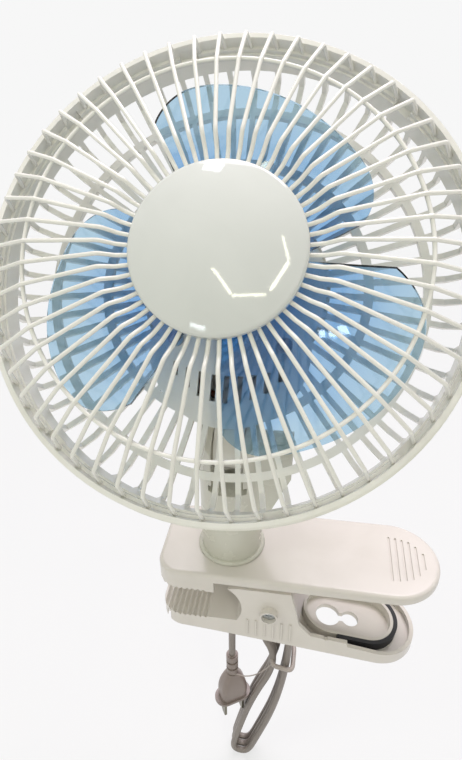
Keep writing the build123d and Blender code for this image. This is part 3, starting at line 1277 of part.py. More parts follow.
drop_middle = Vector(CORD_X + DROP_SWAY, CORD_Y + DROP_SWAY, (GLAND_END + LOBE_TOP) / 2)
tube(
    [Vector(CORD_X, CORD_Y, GLAND_END), Vector(CORD_X, CORD_Y, GLAND_END - 3 * CORD), drop_middle,
     Vector(HANK_RIGHT, CORD_Y, LOBE_TOP + 3 * CORD), HANK_START],
    "cord_drop",
)

hank_points = [HANK_START]
for layer in range(HANK_LOOPS):
    hank_points += hank_loop(layer)
hank_points = hank_points[:-3]
hank_points += [Vector(EXIT_X, HANK_END.Y, LOBE_LOW), HANK_END]
hank_path = tube(hank_points, "cord_hank")
print("hank: least gap to itself", round(least_gap(hank_path), 2))

tube(
    [HANK_END, Vector(EXIT_X, HANK_END.Y, ARCH_TOP), Vector(ARCH_X, CORD_Y - ARCH_AHEAD, ARCH_TOP),
     Vector(PLUG_X, CORD_Y, PLUG_TOP + 3 * CORD), Vector(PLUG_X, CORD_Y, PLUG_TOP)],
    "cord_plug_lead",
)

# ---------------------------------------------------------------- twist tie
tie_plane = Plane(
    hank_point(0, -TIE_SLACK / 2, (HANK_LOOPS - 1) / 2 + TIE_GAP / HANK_STEP / 2),
    x_dir=hank_point(0, 1, 0) - hank_point(0, 0, 0),
    z_dir=hank_point(1, 0, 0) - hank_point(0, 0, 0),
)
TIE_ACROSS = 2 * HANK_WAIST + CORD + 2 * TIE_GAP + 2 * TIE_WIRE + TIE_SLACK
TIE_DEEP = (HANK_LOOPS - 1) * HANK_STEP + CORD + 2 * TIE_GAP + 2 * TIE_WIRE

with BuildPart() as cord_tie:
    with BuildSketch(tie_plane):
        RectangleRounded(TIE_ACROSS, TIE_DEEP, CORD / 2 + TIE_WIRE)
        RectangleRounded(TIE_ACROSS - 2 * TIE_WIRE, TIE_DEEP - 2 * TIE_WIRE, CORD / 2, mode=Mode.SUBTRACT)
    extrude(amount=TIE_BAND / 2, both=True)
    # twisted ends
    with BuildSketch(tie_plane.offset(-TIE_BAND / 2)):
        with Locations((0, -TIE_DEEP / 2 - TIE_WIRE / 2)):
            Circle(TIE_WIRE * 0.8)
    extrude(amount=TIE_TAIL)
save(cord_tie, "cord_tie")

# ---------------------------------------------------------------- plug
def plug_plane(height):
    return Plane(
        (PLUG_X, CORD_Y, height),
        x_dir=(cos(radians(PLUG_TURN)), sin(radians(PLUG_TURN)), 0), z_dir=(0, 0, 1),
    )


SHOULDER = PLUG_TOP - PLUG_RELIEF
PLUG_BASE = SHOULDER - PLUG_BODY

with BuildPart() as plug:
    with BuildSketch(plug_plane(SHOULDER)):
        RectangleRounded(PLUG_WIDTH * 0.45, PLUG_THICK * 0.68, PLUG_ROUND)
    with BuildSketch(plug_plane(SHOULDER - PLUG_BODY * 0.3)):
        RectangleRounded(PLUG_WIDTH * 0.88, PLUG_THICK * 0.95, PLUG_ROUND)
    with BuildSketch(plug_plane(PLUG_BASE + PLUG_FLANGE)):
        RectangleRounded(PLUG_WIDTH, PLUG_THICK, PLUG_ROUND)
    loft()
    with BuildSketch(plug_plane(PLUG_BASE)):
        RectangleRounded(PLUG_FLANGE_WIDTH, PLUG_FLANGE_THICK, PLUG_FLANGE_THICK / 2 - PIN_GAP)
    extrude(amount=PLUG_FLANGE)
    # ribbed strain relief
    with BuildSketch(plug_plane(SHOULDER)):
        Circle(RELIEF_RADIUS * 0.8)
    extrude(amount=PLUG_RELIEF)
    for i in range(RELIEF_RIBS):
        with BuildSketch(plug_plane(SHOULDER + (i + 0.15) * PLUG_RELIEF / RELIEF_RIBS)):
            Circle(RELIEF_RADIUS)
        extrude(amount=PLUG_RELIEF / RELIEF_RIBS * 0.7)
save(plug, "plug")
print("plug", plug.part.volume, len(plug.part.solids()))

with BuildPart() as plug_pins:
    for side in (1, -1):
        with BuildSketch(plug_plane(PLUG_BASE)):
            with Locations((side * PIN_SPACING / 2, 0)):
                Rectangle(PIN_THICK, PIN_WIDTH)
        extrude(amount=-PIN_LENGTH)
    tips = plug_pins.edges().group_by(Axis.Z)[0].filter_by(lambda e: e.length < 2 * PIN_THICK)
    chamfer(tips, PIN_THICK * 0.9)
save(plug_pins, "plug_pins")
print("pins", plug_pins.part.volume, len(plug_pins.part.solids()))
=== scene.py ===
"""A clip-on desk fan: ABS clip and cage, blue tinted blades, shaded-pole motor and a tied hank of cord."""

import math

import bmesh
import bpy
from mathutils import Matrix, Vector


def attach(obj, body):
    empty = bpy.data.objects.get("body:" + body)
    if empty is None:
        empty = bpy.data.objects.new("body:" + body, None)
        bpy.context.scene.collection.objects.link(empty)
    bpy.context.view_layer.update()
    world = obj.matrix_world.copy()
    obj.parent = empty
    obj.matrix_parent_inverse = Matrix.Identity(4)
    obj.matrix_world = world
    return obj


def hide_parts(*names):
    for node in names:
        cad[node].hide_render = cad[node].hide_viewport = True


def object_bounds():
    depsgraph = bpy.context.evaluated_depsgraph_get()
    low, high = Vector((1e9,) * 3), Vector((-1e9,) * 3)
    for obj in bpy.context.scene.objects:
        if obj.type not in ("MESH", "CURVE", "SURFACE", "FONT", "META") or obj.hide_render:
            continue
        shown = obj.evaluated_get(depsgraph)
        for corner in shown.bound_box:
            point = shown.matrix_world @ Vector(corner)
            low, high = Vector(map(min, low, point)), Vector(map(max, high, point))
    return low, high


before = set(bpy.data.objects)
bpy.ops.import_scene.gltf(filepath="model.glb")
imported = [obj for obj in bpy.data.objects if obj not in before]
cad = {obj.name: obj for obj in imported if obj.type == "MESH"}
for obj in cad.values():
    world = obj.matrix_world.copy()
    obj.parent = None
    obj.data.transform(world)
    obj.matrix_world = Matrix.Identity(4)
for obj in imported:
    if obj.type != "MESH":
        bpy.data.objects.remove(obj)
cad_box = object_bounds()

# ------------------------------------------------------------------ floor, lamps and camera
# A pale sweep under the fan, three soft boxes and an even sky. The floor is white to the eye, to gloss and
# through the blades, and still takes the fan's soft shadow.
MM = 0.001
FLOOR_SIZE, FLOOR_GAP, FLOOR_BLOTCH = 8.0, 0.6 * MM, 90 * MM
FLOOR_WHITE, SKY_WHITE, SKY_LIGHT = 0.72, 0.93, 0.44
FADE_START, FADE_END = 0.3, 1.5


def linear(colour):
    """sRGB hex to the linear colour that shaders take."""
    parts = [int(colour[i:i + 2], 16) / 255 for i in (1, 3, 5)]
    return [c / 12.92 if c <= 0.04045 else ((c + 0.055) / 1.055) ** 2.4 for c in parts] + [1.0]


def add(tree, kind, inputs=None, **settings):
    """Add one shader node with its settings; each input is a value, or an output that is linked to it."""
    made = tree.nodes.new("ShaderNode" + kind)
    for name, value in settings.items():
        setattr(made, name, value)
    for name, value in (inputs or {}).items():
        if isinstance(value, bpy.types.NodeSocket):
            tree.links.new(value, made.inputs[name])
        else:
            made.inputs[name].default_value = value
    return made


def seen_as_white(tree):
    """1 for what the eye, a glossy surface or a clear one sees, and 0 for what lights the fan."""
    ray = add(tree, "LightPath").outputs
    seen = add(tree, "Math", {0: ray["Is Camera Ray"], 1: ray["Is Glossy Ray"]}, operation="MAXIMUM")
    seen = add(tree, "Math", {0: seen.outputs[0], 1: ray["Is Transmission Ray"]}, operation="MAXIMUM")
    return seen.outputs[0]


# painted board: matt and evenly white, with faint large blotches
floor_paint = bpy.data.materials.new("painted_board_white")
floor_paint.use_nodes = True
board = floor_paint.node_tree
board.nodes.clear()
place = add(board, "TexCoord").outputs["Object"]
grain = add(board, "TexNoise", {"Vector": place, "Scale": 1 / FLOOR_BLOTCH})
tone = add(board, "MixRGB", {
    "Fac": grain.outputs["Fac"], "Color1": linear("#e9e9e8"), "Color2": linear("#e4e5e5"),
})
chalk = add(board, "BsdfDiffuse", {"Color": tone.outputs["Color"]})
white = add(board, "Emission", {"Color": (1, 1, 1, 1), "Strength": SKY_WHITE})
# the sweep runs out into the sky a metre away, so no line shows where they meet
away = add(board, "VectorMath", {0: place}, operation="LENGTH")
fading = add(board, "MapRange", {
    "Value": away.outputs["Value"], "From Min": FADE_START, "From Max": FADE_END, "To Min": FLOOR_WHITE,
})
share = add(board, "Math", {0: seen_as_white(board), 1: fading.outputs[0]}, operation="MULTIPLY")
mixed = add(board, "MixShader", {0: share.outputs[0], 1: chalk.outputs[0], 2: white.outputs[0]})
add(board, "OutputMaterial", {"Surface": mixed.outputs[0]})

sweep = bmesh.new()
bmesh.ops.create_grid(sweep, x_segments=4, y_segments=4, size=FLOOR_SIZE / 2)
bmesh.ops.translate(sweep, verts=sweep.verts, vec=(0, 0, cad_box[0].z - FLOOR_GAP))
floor_mesh = bpy.data.meshes.new("floor")
sweep.to_mesh(floor_mesh)
sweep.free()
floor_mesh.materials.append(floor_paint)
floor = bpy.data.objects.new("floor", floor_mesh)
bpy.context.scene.collection.objects.link(floor)

sky = bpy.data.worlds.new("soft_sky")
bpy.context.scene.world = sky
sky.use_nodes = True
dome = sky.node_tree
dome.nodes.clear()
level = add(dome, "MapRange", {"Value": seen_as_white(dome), "To Min": SKY_LIGHT, "To Max": SKY_WHITE})
lit = add(dome, "Background", {"Color": (1.0, 1.0, 1.0, 1), "Strength": level.outputs[0]})
add(dome, "OutputWorld", {"Surface": lit.outputs[0]})

# soft boxes: name, place, point lit, width and height in metres, watts and colour
for name, place, aim, width, height, watts, tint in (
    ("soft_box_over", (0.10, 0.58, 1.34), (0.02, 0.0, 0.05), 1.0, 0.8, 19.0, (1.0, 0.915, 1.0)),
    ("soft_box_left", (-1.05, -0.70, 0.85), (0.02, 0.0, 0.05), 0.6, 0.8, 4.0, (0.97, 1.0, 0.86)),
    ("soft_box_right", (0.62, -1.00, 0.62), (0.02, 0.0, 0.1), 0.12, 0.20, 1.5, (1.0, 1.0, 0.86)),
):
    lamp = bpy.data.lights.new(name, "AREA")
    lamp.shape, lamp.size, lamp.size_y = "RECTANGLE", width, height
    lamp.energy, lamp.color = watts, tint
    holder = bpy.data.objects.new(name, lamp)
    holder.location = place
    holder.rotation_euler = (Vector(aim) - Vector(place)).to_track_quat("-Z", "Y").to_euler()
    # only the box overhead is mirrored in the cap
    holder.visible_glossy = name == "soft_box_over"
    bpy.context.scene.collection.objects.link(holder)

# thin strips and two small panes that face the cap, for the glints in the cap and the blades: both ends and
# the width in metres, radiance and colour
CAP_PLACE = Vector((0.019, 0.0, 0.15))
PALE_YELLOW, PALE_BLUE = (1.0, 0.97, 0.74), (0.86, 0.95, 1.0)
for start, end, width, radiance, tint in (
    ((-0.20, -0.95, 1.06), (0.03, -1.15, 0.82), 0.03, 13.0, PALE_YELLOW),
    ((0.05, -1.16, 0.81), (0.44, -1.09, 0.80), 0.03, 13.0, PALE_YELLOW),
    ((0.48, -1.05, 0.84), (0.64, -0.76, 1.06), 0.04, 15.0, PALE_YELLOW),
    ((0.64, -0.75, 1.08), (0.53, -0.56, 1.26), 0.03, 11.0, PALE_YELLOW),
    ((-0.36, 0.23, 1.41), (-0.20, 0.16, 1.46), 0.12, 12.0, PALE_BLUE),
    ((-0.42, -1.22, 0.43), (-0.25, -1.29, 0.41), 0.05, 9.0, PALE_BLUE),
):
    start, end = Vector(start), Vector(end)
    strip = bpy.data.lights.new("window_strip", "AREA")
    strip.shape, strip.size, strip.size_y = "RECTANGLE", (end - start).length, width
    strip.energy, strip.color = radiance * math.pi * strip.size * width, tint
    holder = bpy.data.objects.new("window_strip", strip)
    backward = ((start + end) / 2 - CAP_PLACE).normalized()
    along = (end - start).normalized()
    above = backward.cross(along).normalized()
    holder.matrix_world = Matrix((above.cross(backward), above, backward)).transposed().to_4x4()
    holder.location = (start + end) / 2
    bpy.context.scene.collection.objects.link(holder)

EYE = Vector((51.34, -201.64, 227.51)) * MM
LOOK = Vector((-0.1344, 0.8449, -0.5178)).normalized()
RIGHT = Vector((0.9883, 0.1521, -0.0083)).normalized()
FOCAL_LENGTH, SENSOR_WIDTH, NEAREST = 27.49, 36.0, 0.01
lens = bpy.data.cameras.new("camera")
lens.lens, lens.sensor_width, lens.clip_start = FOCAL_LENGTH, SENSOR_WIDTH, NEAREST
camera = bpy.data.objects.new("camera", lens)
camera.matrix_world = Matrix((RIGHT, RIGHT.cross(LOOK), -LOOK)).transposed().to_4x4()
camera.location = EYE
bpy.context.scene.collection.objects.link(camera)
bpy.context.scene.camera = camera
bpy.context.scene.view_settings.view_transform = "Standard"

# ------------------------------------------------------------------ clip arms
# Two injection-moulded ABS arms: a rounded upper arm with finger grooves, and a lower arm with the clamp's
# throat, the screw bosses and the tray. Moulded in one colour all through, with a soft gloss from the tool.
DUST = "#b9b4a8"
# how far apart the drifts of colour, the specks, the marks of handling and the tool's ripples lie
ABS_FLOW, ABS_SPECK, ABS_TOUCH, ABS_RIPPLE = 28 * MM, 0.9 * MM, 11 * MM, 1.5 * MM


def blank(name):
    """A new material with only its Principled shader: its tree, that shader and the object's coordinates."""
    material = bpy.data.materials.new(name)
    material.use_nodes = True
    tree = material.node_tree
    tree.nodes.clear()
    shader = add(tree, "BsdfPrincipled")
    add(tree, "OutputMaterial", {"Surface": shader.outputs[0]})
    return material, tree, shader, add(tree, "TexCoord").outputs["Object"]


def moulded_abs(name, colour, shade, roughness, peel=0.012, edge=0.35):
    """Injection-moulded ABS: colour drifts a little with the flow, handling leaves duller and shinier places,
    the tool's polish leaves a ripple, and no moulded edge is sharp."""
    material, tree, shader, place = blank(name)
    flow = add(tree, "TexNoise", {"Vector": place, "Scale": 1 / ABS_FLOW, "Detail": 3.0, "Distortion": 0.6})
    drift = add(tree, "MapRange", {"Value": flow.outputs["Fac"], "From Min": 0.3, "From Max": 0.7})
    body = add(tree, "MixRGB", {
        "Fac": drift.outputs[0], "Color1": linear(colour), "Color2": linear(shade),
    })
    # specks of dust and fines in the granulate are near 0.4 mm, drawn at 0.9 mm and faint
    speck = add(tree, "TexNoise", {"Vector": place, "Scale": 1 / ABS_SPECK, "Detail": 2.0})
    dust = add(tree, "MapRange", {
        "Value": speck.outputs["Fac"], "From Min": 0.66, "From Max": 0.8, "To Max": 0.05,
    })
    dusty = add(tree, "MixRGB", {"Fac": dust.outputs[0], "Color1": body.outputs[0], "Color2": linear(DUST)})
    tree.links.new(dusty.outputs[0], shader.inputs["Base Color"])
    touch = add(tree, "TexNoise", {"Vector": place, "Scale": 1 / ABS_TOUCH, "Detail": 4.0, "Roughness": 0.6})
    gloss = add(tree, "MapRange", {
        "Value": touch.outputs["Fac"], "From Min": 0.3, "From Max": 0.7,
        "To Min": roughness * 0.92, "To Max": roughness * 1.12,
    })
    tree.links.new(gloss.outputs[0], shader.inputs["Roughness"])
    rounded = add(tree, "Bevel", {"Radius": edge * MM}, samples=4)
    ripple = add(tree, "TexNoise", {"Vector": place, "Scale": 1 / ABS_RIPPLE, "Detail": 2.0})
    skin = add(tree, "Bump", {
        "Height": ripple.outputs["Fac"], "Distance": peel * MM, "Normal": rounded.outputs[0],
    })
    tree.links.new(skin.outputs[0], shader.inputs["Normal"])
    shader.inputs["IOR"].default_value = 1.54
    return material


def dress(material, *nodes):
    """Give CAD nodes this material in every slot they have."""
    for name in nodes:
        mesh = cad[name].data
        if not mesh.materials:
            mesh.materials.append(material)
        for i in range(len(mesh.materials)):
            mesh.materials[i] = material


# warm off-white ABS, semi-gloss
arm_abs = moulded_abs("moulded_abs_arm", "#ddd8d0", "#d6d1c8", 0.22)
dress(arm_abs, "upper_arm", "lower_arm")


# ------------------------------------------------------------------ rubber band
# A black nitrile band stretched round the raised wall of the tray, to keep the clip from slipping on a hook.
# Matt, with a fine ground surface and a grey bloom where it is stretched.
def mottled(name, colour, shade, roughness, ior, patch, detail=3.0):
    """A rubber or plastic in two close colours that run into each other in patches this many mm across."""
    material, tree, shader, place = blank(name)
    cloud = add(tree, "TexNoise", {"Vector": place, "Scale": 1 / (patch * MM), "Detail": detail})
    tone = add(tree, "MixRGB", {
        "Fac": cloud.outputs["Fac"], "Color1": linear(colour), "Color2": linear(shade),
    })
    tree.links.new(tone.outputs[0], shader.inputs["Base Color"])
    shader.inputs["Roughness"].default_value = roughness
    shader.inputs["IOR"].default_value = ior
    return material, tree, shader, place


def raise_grain(tree, shader, place, size, depth, detail):
    """Raise a grain of this size and depth, in mm, on the surface."""
    grain = add(tree, "TexNoise", {"Vector": place, "Scale": 1 / (size * MM), "Detail": detail})
    raised = add(tree, "Bump", {"Height": grain.outputs["Fac"], "Distance": depth * MM})
    tree.links.new(raised.outputs[0], shader.inputs["Normal"])


rubber, *inside = mottled("ground_rubber_band", "#161618", "#2b2b2e", 0.62, 1.52, patch=6, detail=4.0)
# the grinding marks are near 0.1 mm, drawn at 0.4 mm
raise_grain(*inside, size=0.4, depth=0.05, detail=3.0)
dress(rubber, "grip_band")


# ------------------------------------------------------------------ hinge screw, nut and clip spring
# The arms pivot on a zinc-plated screw that runs through the bosses into a nut. A torsion spring of oiled
# spring wire sits round it and presses the tails of the clip apart.
def plated_steel(name, colour, shade, roughness, blotch=5.0, lay=(1, 1, 1)):
    """Plated or drawn metal: cloudy patches and fine marks, which run along lay where it was drawn."""
    material, tree, shader, place = blank(name)
    cloud = add(tree, "TexNoise", {"Vector": place, "Scale": 1 / (blotch * MM), "Detail": 4.0})
    tone = add(tree, "MixRGB", {
        "Fac": cloud.outputs["Fac"], "Color1": linear(colour), "Color2": linear(shade),
    })
    tree.links.new(tone.outputs[0], shader.inputs["Base Color"])
    shader.inputs["Metallic"].default_value = 1.0
    marks = add(tree, "Mapping", {"Vector": place, "Scale": lay})
    # the marks are near 0.05 mm, drawn at 0.35 mm
    fine = add(tree, "TexNoise", {"Vector": marks.outputs[0], "Scale": 1 / (0.35 * MM), "Detail": 3.0})
    wear = add(tree, "MapRange", {
        "Value": fine.outputs["Fac"], "To Min": roughness * 0.7, "To Max": roughness * 1.4,
    })
    tree.links.new(wear.outputs[0], shader.inputs["Roughness"])
    scored = add(tree, "Bump", {"Height": fine.outputs["Fac"], "Distance": 0.01 * MM})
    tree.links.new(scored.outputs[0], shader.inputs["Normal"])
    return material


# bright zinc: pale grey with soft clouds; oiled wire: darker, marked along its length
zinc = plated_steel("zinc_plated_steel", "#c9cbcc", "#aeb1b0", 0.3)
spring_wire = plated_steel("oiled_spring_wire", "#8b8a86", "#6d6a64", 0.34, lay=(0.1, 1, 1))
dress(zinc, "hinge_screw", "hinge_nut")
dress(spring_wire, "clip_spring")

# ------------------------------------------------------------------ column, swivel and tilt joint
# A hollow ABS post that turns on the upper arm and forks round the motor housing's neck. A washer and screw
# keep it on the arm; a through bolt with friction washers of natural nylon holds the tilt.
column_abs = moulded_abs("moulded_abs_column", "#cfcec1", "#c8c7b9", 0.26)
dress(column_abs, "column")
dress(zinc, "swivel_washer", "swivel_screw", "tilt_bolt", "tilt_nut")
# nylon: waxy and a little yellow
nylon = mottled("natural_nylon_washer", "#d9d4c3", "#cbc5b1", 0.45, 1.53, patch=3)[0]
dress(nylon, "tilt_washers")

# ------------------------------------------------------------------ motor housing, speed switch and dial
# An ABS bell moulded in one piece, with rear vents, a chin and a neck for the column's fork. A rotary switch
# of dark phenolic moulding sits inside, low on its back, and its ribbed ABS dial stands out behind.
housing_abs = moulded_abs("moulded_abs_housing", "#dfddd5", "#d8d6cc", 0.3)
dress(housing_abs, "motor_housing", "speed_dial")
# phenolic: brown-black with fine specks of its wood filler
phenolic = mottled("moulded_phenolic_switch", "#2a2622", "#3a332c", 0.42, 1.6, patch=1.2)[0]
dress(phenolic, "speed_switch")

# ------------------------------------------------------------------ motor
# A four-pole shaded-pole motor: stacked steel laminations, enamelled copper coils on nylon bobbins and a
# rotor on a ground shaft, between two pressed brackets with sintered bronze bushings, studs and spacers.
TILT = math.radians(37.6)
FACING = Vector((0, -math.cos(TILT), math.sin(TILT)))
RISING = Vector((0, math.sin(TILT), math.cos(TILT)))
RIM_POINT = Vector((19, -0.901, 149.958)) * MM
# a wave texture's light and dark bands are this length over 6.28 wide: laminations are 0.5 mm thick, drawn at
# 1 mm, and the wire is 0.2 mm, drawn at 0.7 mm
STACK_WAVE, WINDING_WAVE = 6.28 * MM, 4.4 * MM


def along_axle(tree, place):
    """The coordinates turned so that their z runs along the fan's axle."""
    turn = FACING.rotation_difference(Vector((0, 0, 1))).to_euler()
    moved = add(tree, "VectorMath", {0: place, 1: tuple(RIM_POINT)}, operation="SUBTRACT")
    return add(tree, "Mapping", {"Vector": moved.outputs[0], "Rotation": turn}).outputs[0]


def banded(name, wave, colour, shade, metallic, roughness, depth):
    """Metal in bands across the axle, each a ridge this many mm high: the wave's settings and two colours."""
    material, tree, shader, place = blank(name)
    axle = along_axle(tree, place)
    bands = add(tree, "TexWave", {"Vector": axle, **wave}, bands_direction="Z")
    tone = add(tree, "MixRGB", {
        "Fac": bands.outputs["Fac"], "Color1": linear(colour), "Color2": linear(shade),
    })
    tree.links.new(tone.outputs[0], shader.inputs["Base Color"])
    shader.inputs["Metallic"].default_value = metallic
    shader.inputs["Roughness"].default_value = roughness
    ridge = add(tree, "Bump", {"Height": bands.outputs["Fac"], "Distance": depth * MM})
    tree.links.new(ridge.outputs[0], shader.inputs["Normal"])
    return material


# punched sheets, dull grey with darker oxide between; copper under a reddish lacquer
laminated = banded(
    "stacked_laminations", {"Scale": 1 / STACK_WAVE, "Distortion": 0.3},
    "#5d5c5a", "#8b8a86", metallic=1.0, roughness=0.48, depth=0.12,
)
copper = banded(
    "enamelled_copper_winding", {"Scale": 1 / WINDING_WAVE, "Distortion": 0.8, "Detail": 1.0},
    "#7c3d1f", "#c77a45", metallic=0.85, roughness=0.34, depth=0.2,
)
dress(laminated, "stator", "rotor")
dress(copper, "coils")

# pressed steel: grey, lightly oiled; ground steel: bright; sintered bronze: brown, matt and porous
pressed = plated_steel("pressed_bracket_steel", "#b4b5b3", "#9a9b98", 0.36)
ground_shaft = plated_steel("ground_shaft_steel", "#c2c3c3", "#a9aaaa", 0.22)
bronze = plated_steel("sintered_bronze", "#a9793f", "#8a6032", 0.5, blotch=1.0)
dress(pressed, "front_bracket", "rear_bracket", "motor_studs", "motor_spacers")
dress(ground_shaft, "shaft")
dress(bronze, "front_bushing", "rear_bushing")
dress(nylon, "bobbins", "thrust_washers")

# ------------------------------------------------------------------ motor leads
# Two pairs of silicone-sleeved leads in copper brown come off the windings, lie in the housing's chin behind
# the shield's slots and run into the neck.
LEAD, LEAD_GAP, LEADS, FIRST_LEAD = 2.6, 0.15, 4, -23.0
# each lead turns into the neck this much lower than the one before, where it bends and where it runs on
BEND_STEP, NECK_STEP = 0.5, 0.6


def head_point(across, up, ahead):
    """A point of the fan head in metres, from mm to the right, up across the axle and ahead along it."""
    return RIM_POINT + (Vector((across, 0, 0)) + RISING * up + FACING * ahead) * MM


def wire_piece(name, thickness, roundness, material):
    """A piece of round wire this many mm thick, with no run laid yet."""
    curve = bpy.data.curves.new(name, "CURVE")
    curve.dimensions = "3D"
    curve.bevel_depth = thickness / 2 * MM
    curve.bevel_resolution = roundness
    curve.materials.append(material)
    piece = bpy.data.objects.new(name, curve)
    bpy.context.scene.collection.objects.link(piece)
    return piece


def lay_run(piece, points, steps, thinning=1.0, closed=False):
    """Lay one smooth run of the wire along points in metres."""
    run = piece.data.splines.new("NURBS")
    run.points.add(len(points) - 1)
    for knot, point in zip(run.points, points):
        knot.co = (*point, 1)
        knot.radius = thinning
    run.order_u = 3
    run.use_cyclic_u = closed
    run.use_endpoint_u = not closed
    run.resolution_u = steps


# silicone rubber sleeving: brown, with a soft sheen
sleeve = mottled("silicone_sleeve_copper_brown", "#8a4a2a", "#6d3820", 0.4, 1.41, patch=3)[0]
leads = wire_piece("motor_leads", LEAD, 3, sleeve)
for i in range(LEADS):
    side = FIRST_LEAD + i * (LEAD + LEAD_GAP)
    bend, neck = -36.5 - BEND_STEP * i, -40.5 - NECK_STEP * i
    stops = (
        (side, -25, -34.0), (side - 0.4, -31, -33.0), (side, bend, -32.5),
        (side + 5, neck, -33.5), (side + 12, neck, -34.2),
    )
    lay_run(leads, [head_point(*stop) for stop in stops], steps=8)
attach(leads, "head")

# ------------------------------------------------------------------ rear guard and its screws
# One ABS moulding: radial ribs that bend forward into a rim, two flat rings, and a slotted round shield
# over the neck. Whiter than the arms, semi-gloss. Four plated screws hold it to the housing.
guard_abs = moulded_abs("moulded_abs_guard", "#efeee7", "#e9e8df", 0.24, edge=0.25)
dress(guard_abs, "rear_guard")
dress(zinc, "guard_screws")

# ------------------------------------------------------------------ impeller and nut
# Three wide cupped blades and their hub, moulded in one shot of blue-tinted clear styrene: polished, light
# comes through it, and it is deeper blue near the hub. A knob of the same plastic locks it on the shaft.
BLADE_ROOT, BLADE_TIP, BLADE_DRIFT = 20 * MM, 66 * MM, 26 * MM
BLADE_STREAK, BLADE_WIPE = 35 * MM, 9 * MM
tinted, tree, shader, place = blank("tinted_clear_styrene")
axle = add(tree, "SeparateXYZ", {0: along_axle(tree, place)})
flat = add(tree, "CombineXYZ", {"X": axle.outputs["X"], "Y": axle.outputs["Y"]})
reach = add(tree, "VectorMath", {0: flat.outputs[0]}, operation="LENGTH")
streak = add(tree, "TexNoise", {"Vector": place, "Scale": 1 / BLADE_STREAK, "Detail": 2.0, "Distortion": 1.0})
shift = add(tree, "MapRange", {"Value": streak.outputs["Fac"], "To Min": -BLADE_DRIFT, "To Max": BLADE_DRIFT})
spread = add(tree, "Math", {0: reach.outputs["Value"], 1: shift.outputs[0]}, operation="ADD")
paling = add(tree, "MapRange", {"Value": spread.outputs[0], "From Min": BLADE_ROOT, "From Max": BLADE_TIP})
tone = add(tree, "MixRGB", {
    "Fac": paling.outputs[0], "Color1": linear("#5c9ddc"), "Color2": linear("#b2d2e6"),
})
tree.links.new(tone.outputs[0], shader.inputs["Base Color"])
shader.inputs["Transmission Weight"].default_value = 1.0
shader.inputs["IOR"].default_value = 1.58
wipe = add(tree, "TexNoise", {"Vector": place, "Scale": 1 / BLADE_WIPE, "Detail": 3.0})
gloss = add(tree, "MapRange", {"Value": wipe.outputs["Fac"], "To Min": 0.01, "To Max": 0.06})
tree.links.new(gloss.outputs[0], shader.inputs["Roughness"])
# the moulding sinks a little as it cools, in swells near 14 mm
raise_grain(tree, shader, place, size=14, depth=0.08, detail=1.0)
dress(tinted, "impeller", "impeller_nut")

# ------------------------------------------------------------------ front guard and cap
# The front cage is moulded as one piece: 56 round wires with a step near the hub, a hoop behind them and a
# rim that snaps over the rear guard. A domed cap, polished to a mirror gloss, closes the hub.
dress(guard_abs, "front_guard")
cap_abs = moulded_abs("polished_abs_cap", "#d9dcd6", "#d3d6d0", 0.06, peel=0.006, edge=0.5)
cap_abs.node_tree.nodes["Principled BSDF"].inputs["Coat Weight"].default_value = 0.35
dress(cap_abs, "front_cap")

# ------------------------------------------------------------------ cord and gland
# Round two-core PVC flex, 4.4 mm: it leaves a tapered gland under the upper arm, drops into a hank of three
# long loops that lean to the left, and comes back over the waist of the hank to the plug.
CORD, CORD_LENGTH = 4.4, 1.184
GLAND_END = (50, 27, -13.2)
TIE_X, TIE_Z, LEAN = 47.2, -122.0, math.radians(13.7)
HANK_FRONT, LAYER, LOOPS = 27, 5.0, 3
HALF_LOOP = ((0, 3), (52, 8.6), (103, 7), (115, 6.2), (120.0, 3.2))


def hank_point(down, across, y):
    """A point of the hank in mm: down its lean from the tie, and across to the right."""
    return (
        TIE_X - down * math.sin(LEAN) + across * math.cos(LEAN), y,
        TIE_Z - down * math.cos(LEAN) - across * math.sin(LEAN),
    )


def metres(points):
    """Points in mm as points in metres."""
    return [tuple(c * MM for c in point) for point in points]


whole_loop = [*HALF_LOOP, *((down, -across) for down, across in reversed(HALF_LOOP))]
HANK_RIGHT = hank_point(0, 3, 0)[0]
route = [GLAND_END, (50, 27, -26.4), (51.5, 28.5, -47.6), (HANK_RIGHT, 27, -68.8), (HANK_RIGHT, 27, -82)]
for loop in range(LOOPS):
    y = HANK_FRONT + loop * LAYER
    route += [hank_point(down, across, y) for down, across in whole_loop]
    if loop < LOOPS - 1:
        route += [(31, y + LAYER, -100), (31, y + LAYER, -82), (HANK_RIGHT, y + LAYER, -82)]
route += [(41, 42, -100), (41, 42, -82), (41, 42, -56), (15, 24.5, -56), (14, 27, -107.8), (14, 27, -121)]

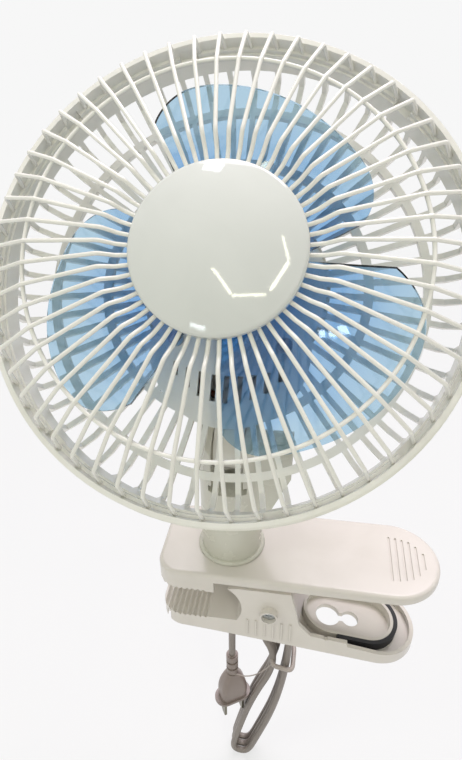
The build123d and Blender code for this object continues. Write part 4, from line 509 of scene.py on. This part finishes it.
# extruded PVC: warm grey with a low sheen and a little grime
pvc, *inside = mottled("extruded_pvc_cord", "#918982", "#7d756e", 0.42, 1.53, patch=12, detail=4.0)
# the extruder leaves a drag texture near 0.2 mm, drawn at 0.8 mm
raise_grain(*inside, size=0.8, depth=0.02, detail=2.0)
dress(pvc, "cord_gland")
cord = wire_piece("cord", CORD, 5, pvc)
lay_run(cord, metres(route), steps=12)
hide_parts("cord_drop", "cord_hank", "cord_plug_lead")
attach(cord, "upper_clip")

# ------------------------------------------------------------------ twist tie
# A vinyl-covered wire tie drawn snug round the waist of the hank; its thin end runs over to the plug's neck
# and holds the plug beside the hank.
TIE_WIRE, TIE_ACROSS, TIE_DEEP, TIE_SLANT = 3.0, 6.9, 9.0, 0.8
TIE_THREAD = 0.25
TIE_MIDDLE_Y = HANK_FRONT + LAYER
# vinyl: pale warm grey, satin
tie_vinyl = moulded_abs("vinyl_twist_tie", "#b3aaa2", "#a0978f", 0.35)
tie = wire_piece("tie", TIE_WIRE, 3, tie_vinyl)
corners = ((1, 0), (1, 1), (0, 1), (-1, 1), (-1, 0), (-1, -1), (0, -1), (1, -1))
band = [
    hank_point(TIE_SLANT * (1 - back), across * TIE_ACROSS, TIE_MIDDLE_Y + back * TIE_DEEP)
    for across, back in corners
]
lay_run(tie, metres(band), steps=10, closed=True)
thread = [
    hank_point(1.5, -6.2, 24.5), (34, 22.5, -131), (24, 22, -137), (17.5, 24.3, -138.5), (15, 23.6, -138.6),
]
lay_run(tie, metres(thread), steps=10, thinning=TIE_THREAD)
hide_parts("cord_tie")
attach(tie, "upper_clip")

# ------------------------------------------------------------------ plug and pins
# A two-pin plug moulded in soft PVC round the end of the cord, with a ribbed strain relief, satin and a
# little browner than the cord. Its flat pins are nickel-plated brass, dull from use.
plug_pvc = moulded_abs("moulded_pvc_plug", "#93867f", "#82766f", 0.4, edge=0.4)
dress(plug_pvc, "plug")
brass = plated_steel("nickel_plated_brass", "#85816f", "#625e50", 0.3)
dress(brass, "plug_pins")
